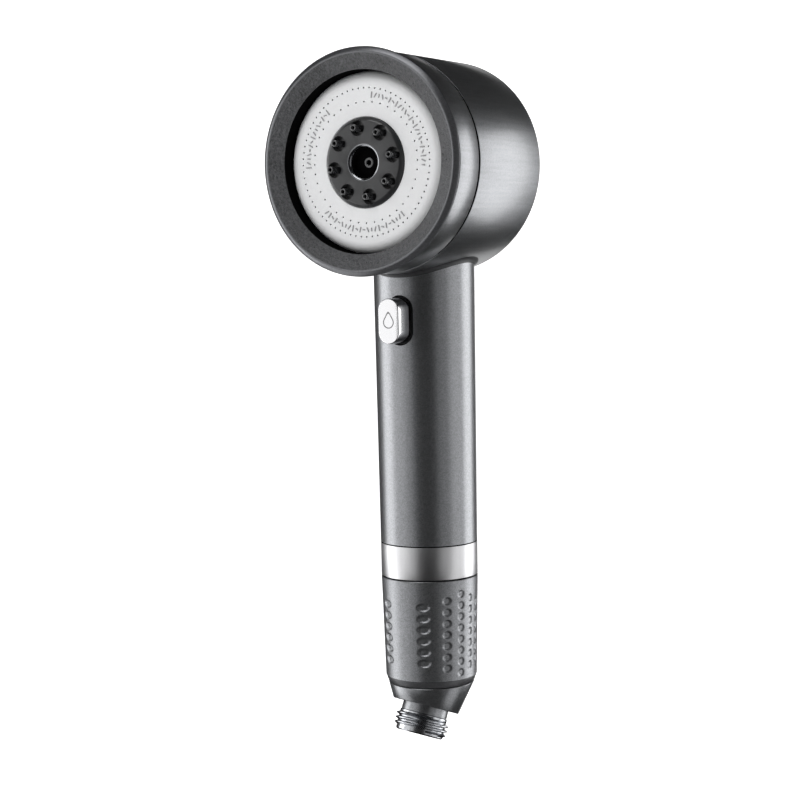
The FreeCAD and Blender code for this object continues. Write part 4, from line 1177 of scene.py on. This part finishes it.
class SHOWER_OT_stage(bpy.types.Operator):
    """Pale floor, soft studio lights and the camera"""

    bl_idname = "shower.stage"
    bl_label = "Stage"

    def execute(self, context):
        setting = studio()
        self.floor()
        self.world()
        middle = Vector((0, 0, 0.09))
        key, fill = setting.key_power, setting.fill_power
        boxes = (("right_back", 50.0, 0.6, 1.0, key * 1.6), ("right", 10.0, 0.6, 1.0, key * 0.6),
                 ("right_front", -24.0, 0.45, 1.0, key * 0.17), ("left_back", -163.0, 0.6, 1.1, fill * 1.5),
                 ("left", -128.0, 0.55, 1.1, fill * 0.55), ("left_front", -102.0, 0.35, 1.1, fill * 0.19))
        low = middle - Vector((0, 0, 0.11))
        for name, turn, width, tall, power in boxes:
            self.softbox(f"{name}_softbox", low, turn, 0.0, 1.0, (width, tall), power)
        self.softbox("low_left_softbox", middle, -158.0, -44.0, 1.0, (0.6, 0.4), fill * 0.3)
        self.softbox("low_right_softbox", middle, 8.0, -44.0, 1.0, (0.5, 0.4), key * 0.2)
        self.softbox("rim_softbox", low, 108.0, 0.0, 1.0, (0.3, 1.0), key * 0.25)
        self.softbox("front_softbox", middle, -100.0, 52.0, 1.0, (0.6, 0.6), setting.front_power)
        self.camera(setting)
        context.scene.view_settings.view_transform = "Standard"
        return {"FINISHED"}

    def floor(self):
        """A floor that curves up into a wall behind the object."""
        bm = bmesh.new()
        drop = CAD_BOX[0].z - 0.12
        profile = [(-1.6, drop), (0.9, drop)]
        for index in range(1, 13):
            turn = math.pi / 2 * index / 12
            profile.append((0.9 + 0.5 * math.sin(turn), drop + 0.5 * (1 - math.cos(turn))))
        profile.append((1.4, drop + 2.2))
        points = [bm.verts.new((-2.2, y, z)) for y, z in profile]
        edges = [bm.edges.new(pair) for pair in zip(points, points[1:])]
        made = bmesh.ops.extrude_edge_only(bm, edges=edges)["geom"]
        bmesh.ops.translate(bm, verts=[part for part in made if isinstance(part, bmesh.types.BMVert)],
                            vec=(4.4, 0, 0))
        bmesh.ops.rotate(bm, verts=bm.verts, cent=(0, 0, 0),
                         matrix=Matrix.Rotation(studio().camera_turn, 3, "Z"))
        bmesh.ops.recalc_face_normals(bm, faces=bm.faces)
        item = piece("floor", bm)
        item.visible_glossy = False
        material = bpy.data.materials.new("Pale floor")
        material.use_nodes = True
        shader = material.node_tree.nodes["Principled BSDF"]
        shader.inputs["Base Color"].default_value = (0.9, 0.9, 0.9, 1)
        shader.inputs["Roughness"].default_value = 0.9
        shader.inputs["Emission Color"].default_value = (1, 1, 1, 1)
        shader.inputs["Emission Strength"].default_value = 0.75
        item.data.materials.append(material)

    def world(self):
        world = bpy.data.worlds.new("Studio")
        world.use_nodes = True
        back = world.node_tree.nodes["Background"]
        back.inputs["Color"].default_value = (0.2, 0.2, 0.205, 1)
        back.inputs["Strength"].default_value = 0.12
        bpy.context.scene.world = world

    def softbox(self, name, middle, turn, rise, reach, shape, power):
        """A rectangular light at a compass turn from +X and a rise, facing the object."""
        turn, rise = math.radians(turn), math.radians(rise)
        way = Vector((math.cos(turn) * math.cos(rise), math.sin(turn) * math.cos(rise), math.sin(rise)))
        data = bpy.data.lights.new(name, "AREA")
        data.shape = "RECTANGLE"
        data.size, data.size_y = shape
        data.energy = power
        item = bpy.data.objects.new(name, data)
        item.location = middle + way * reach
        item.rotation_mode = "QUATERNION"
        item.rotation_quaternion = way.to_track_quat("Z", "Y")
        bpy.context.scene.collection.objects.link(item)

    def camera(self, setting):
        turn, drop, roll = setting.camera_turn, setting.camera_drop, setting.camera_roll
        ahead = Vector((-math.sin(turn) * math.cos(drop), math.cos(turn) * math.cos(drop), -math.sin(drop)))
        right = Vector((math.cos(turn), math.sin(turn), 0))
        down = ahead.cross(right)
        across = right * math.cos(roll) + down * math.sin(roll)
        below = down * math.cos(roll) - right * math.sin(roll)
        data = bpy.data.cameras.new("camera")
        data.lens = setting.lens
        data.sensor_width = 36.0
        item = bpy.data.objects.new("camera", data)
        axes = Matrix((across, -below, -ahead)).transposed()
        item.matrix_world = Matrix.Translation(Vector(setting.camera_place)) @ axes.to_4x4()
        bpy.context.scene.collection.objects.link(item)
        bpy.context.scene.camera = item


OPERATORS = (
    SHOWER_OT_stage, SHOWER_OT_housing, SHOWER_OT_saddle, SHOWER_OT_collar, SHOWER_OT_dial_ring,
    SHOWER_OT_spray_plate, SHOWER_OT_mode_marks, SHOWER_OT_nozzle_insert, SHOWER_OT_nozzle_mat,
    SHOWER_OT_centre_jet, SHOWER_OT_button, SHOWER_OT_button_spring, SHOWER_OT_bezel, SHOWER_OT_trim_ring,
    SHOWER_OT_filter_grip, SHOWER_OT_end_ring, SHOWER_OT_inlet_elbow, SHOWER_OT_inner_parts,
)


class SHOWER_PT_panel(bpy.types.Panel):
    """Lists a button that builds each piece."""

    bl_label = "Handheld Shower"
    bl_idname = "SHOWER_PT_panel"
    bl_space_type = "VIEW_3D"
    bl_region_type = "UI"
    bl_category = "Shower"

    def draw(self, context):
        column = self.layout.column(align=True)
        for operator in OPERATORS:
            column.operator(operator.bl_idname)


GROUPS = {"shower_sizes": ShowerSizes, "shower_colours": ShowerColours, "shower_studio": StudioSettings}
CLASSES = (*GROUPS.values(), *OPERATORS, SHOWER_PT_panel)


def register():
    for item in CLASSES:
        bpy.utils.register_class(item)
    for name, group in GROUPS.items():
        setattr(bpy.types.Scene, name, PointerProperty(type=group))


def unregister():
    for name in GROUPS:
        delattr(bpy.types.Scene, name)
    for item in reversed(CLASSES):
        bpy.utils.unregister_class(item)


def main():
    register()
    for operator in OPERATORS:
        call = getattr(bpy.ops.shower, operator.bl_idname.split(".")[1])
        if call() != {"FINISHED"}:
            raise RuntimeError(f"{operator.bl_label} did not finish")


if __name__ == "__main__":
    main()
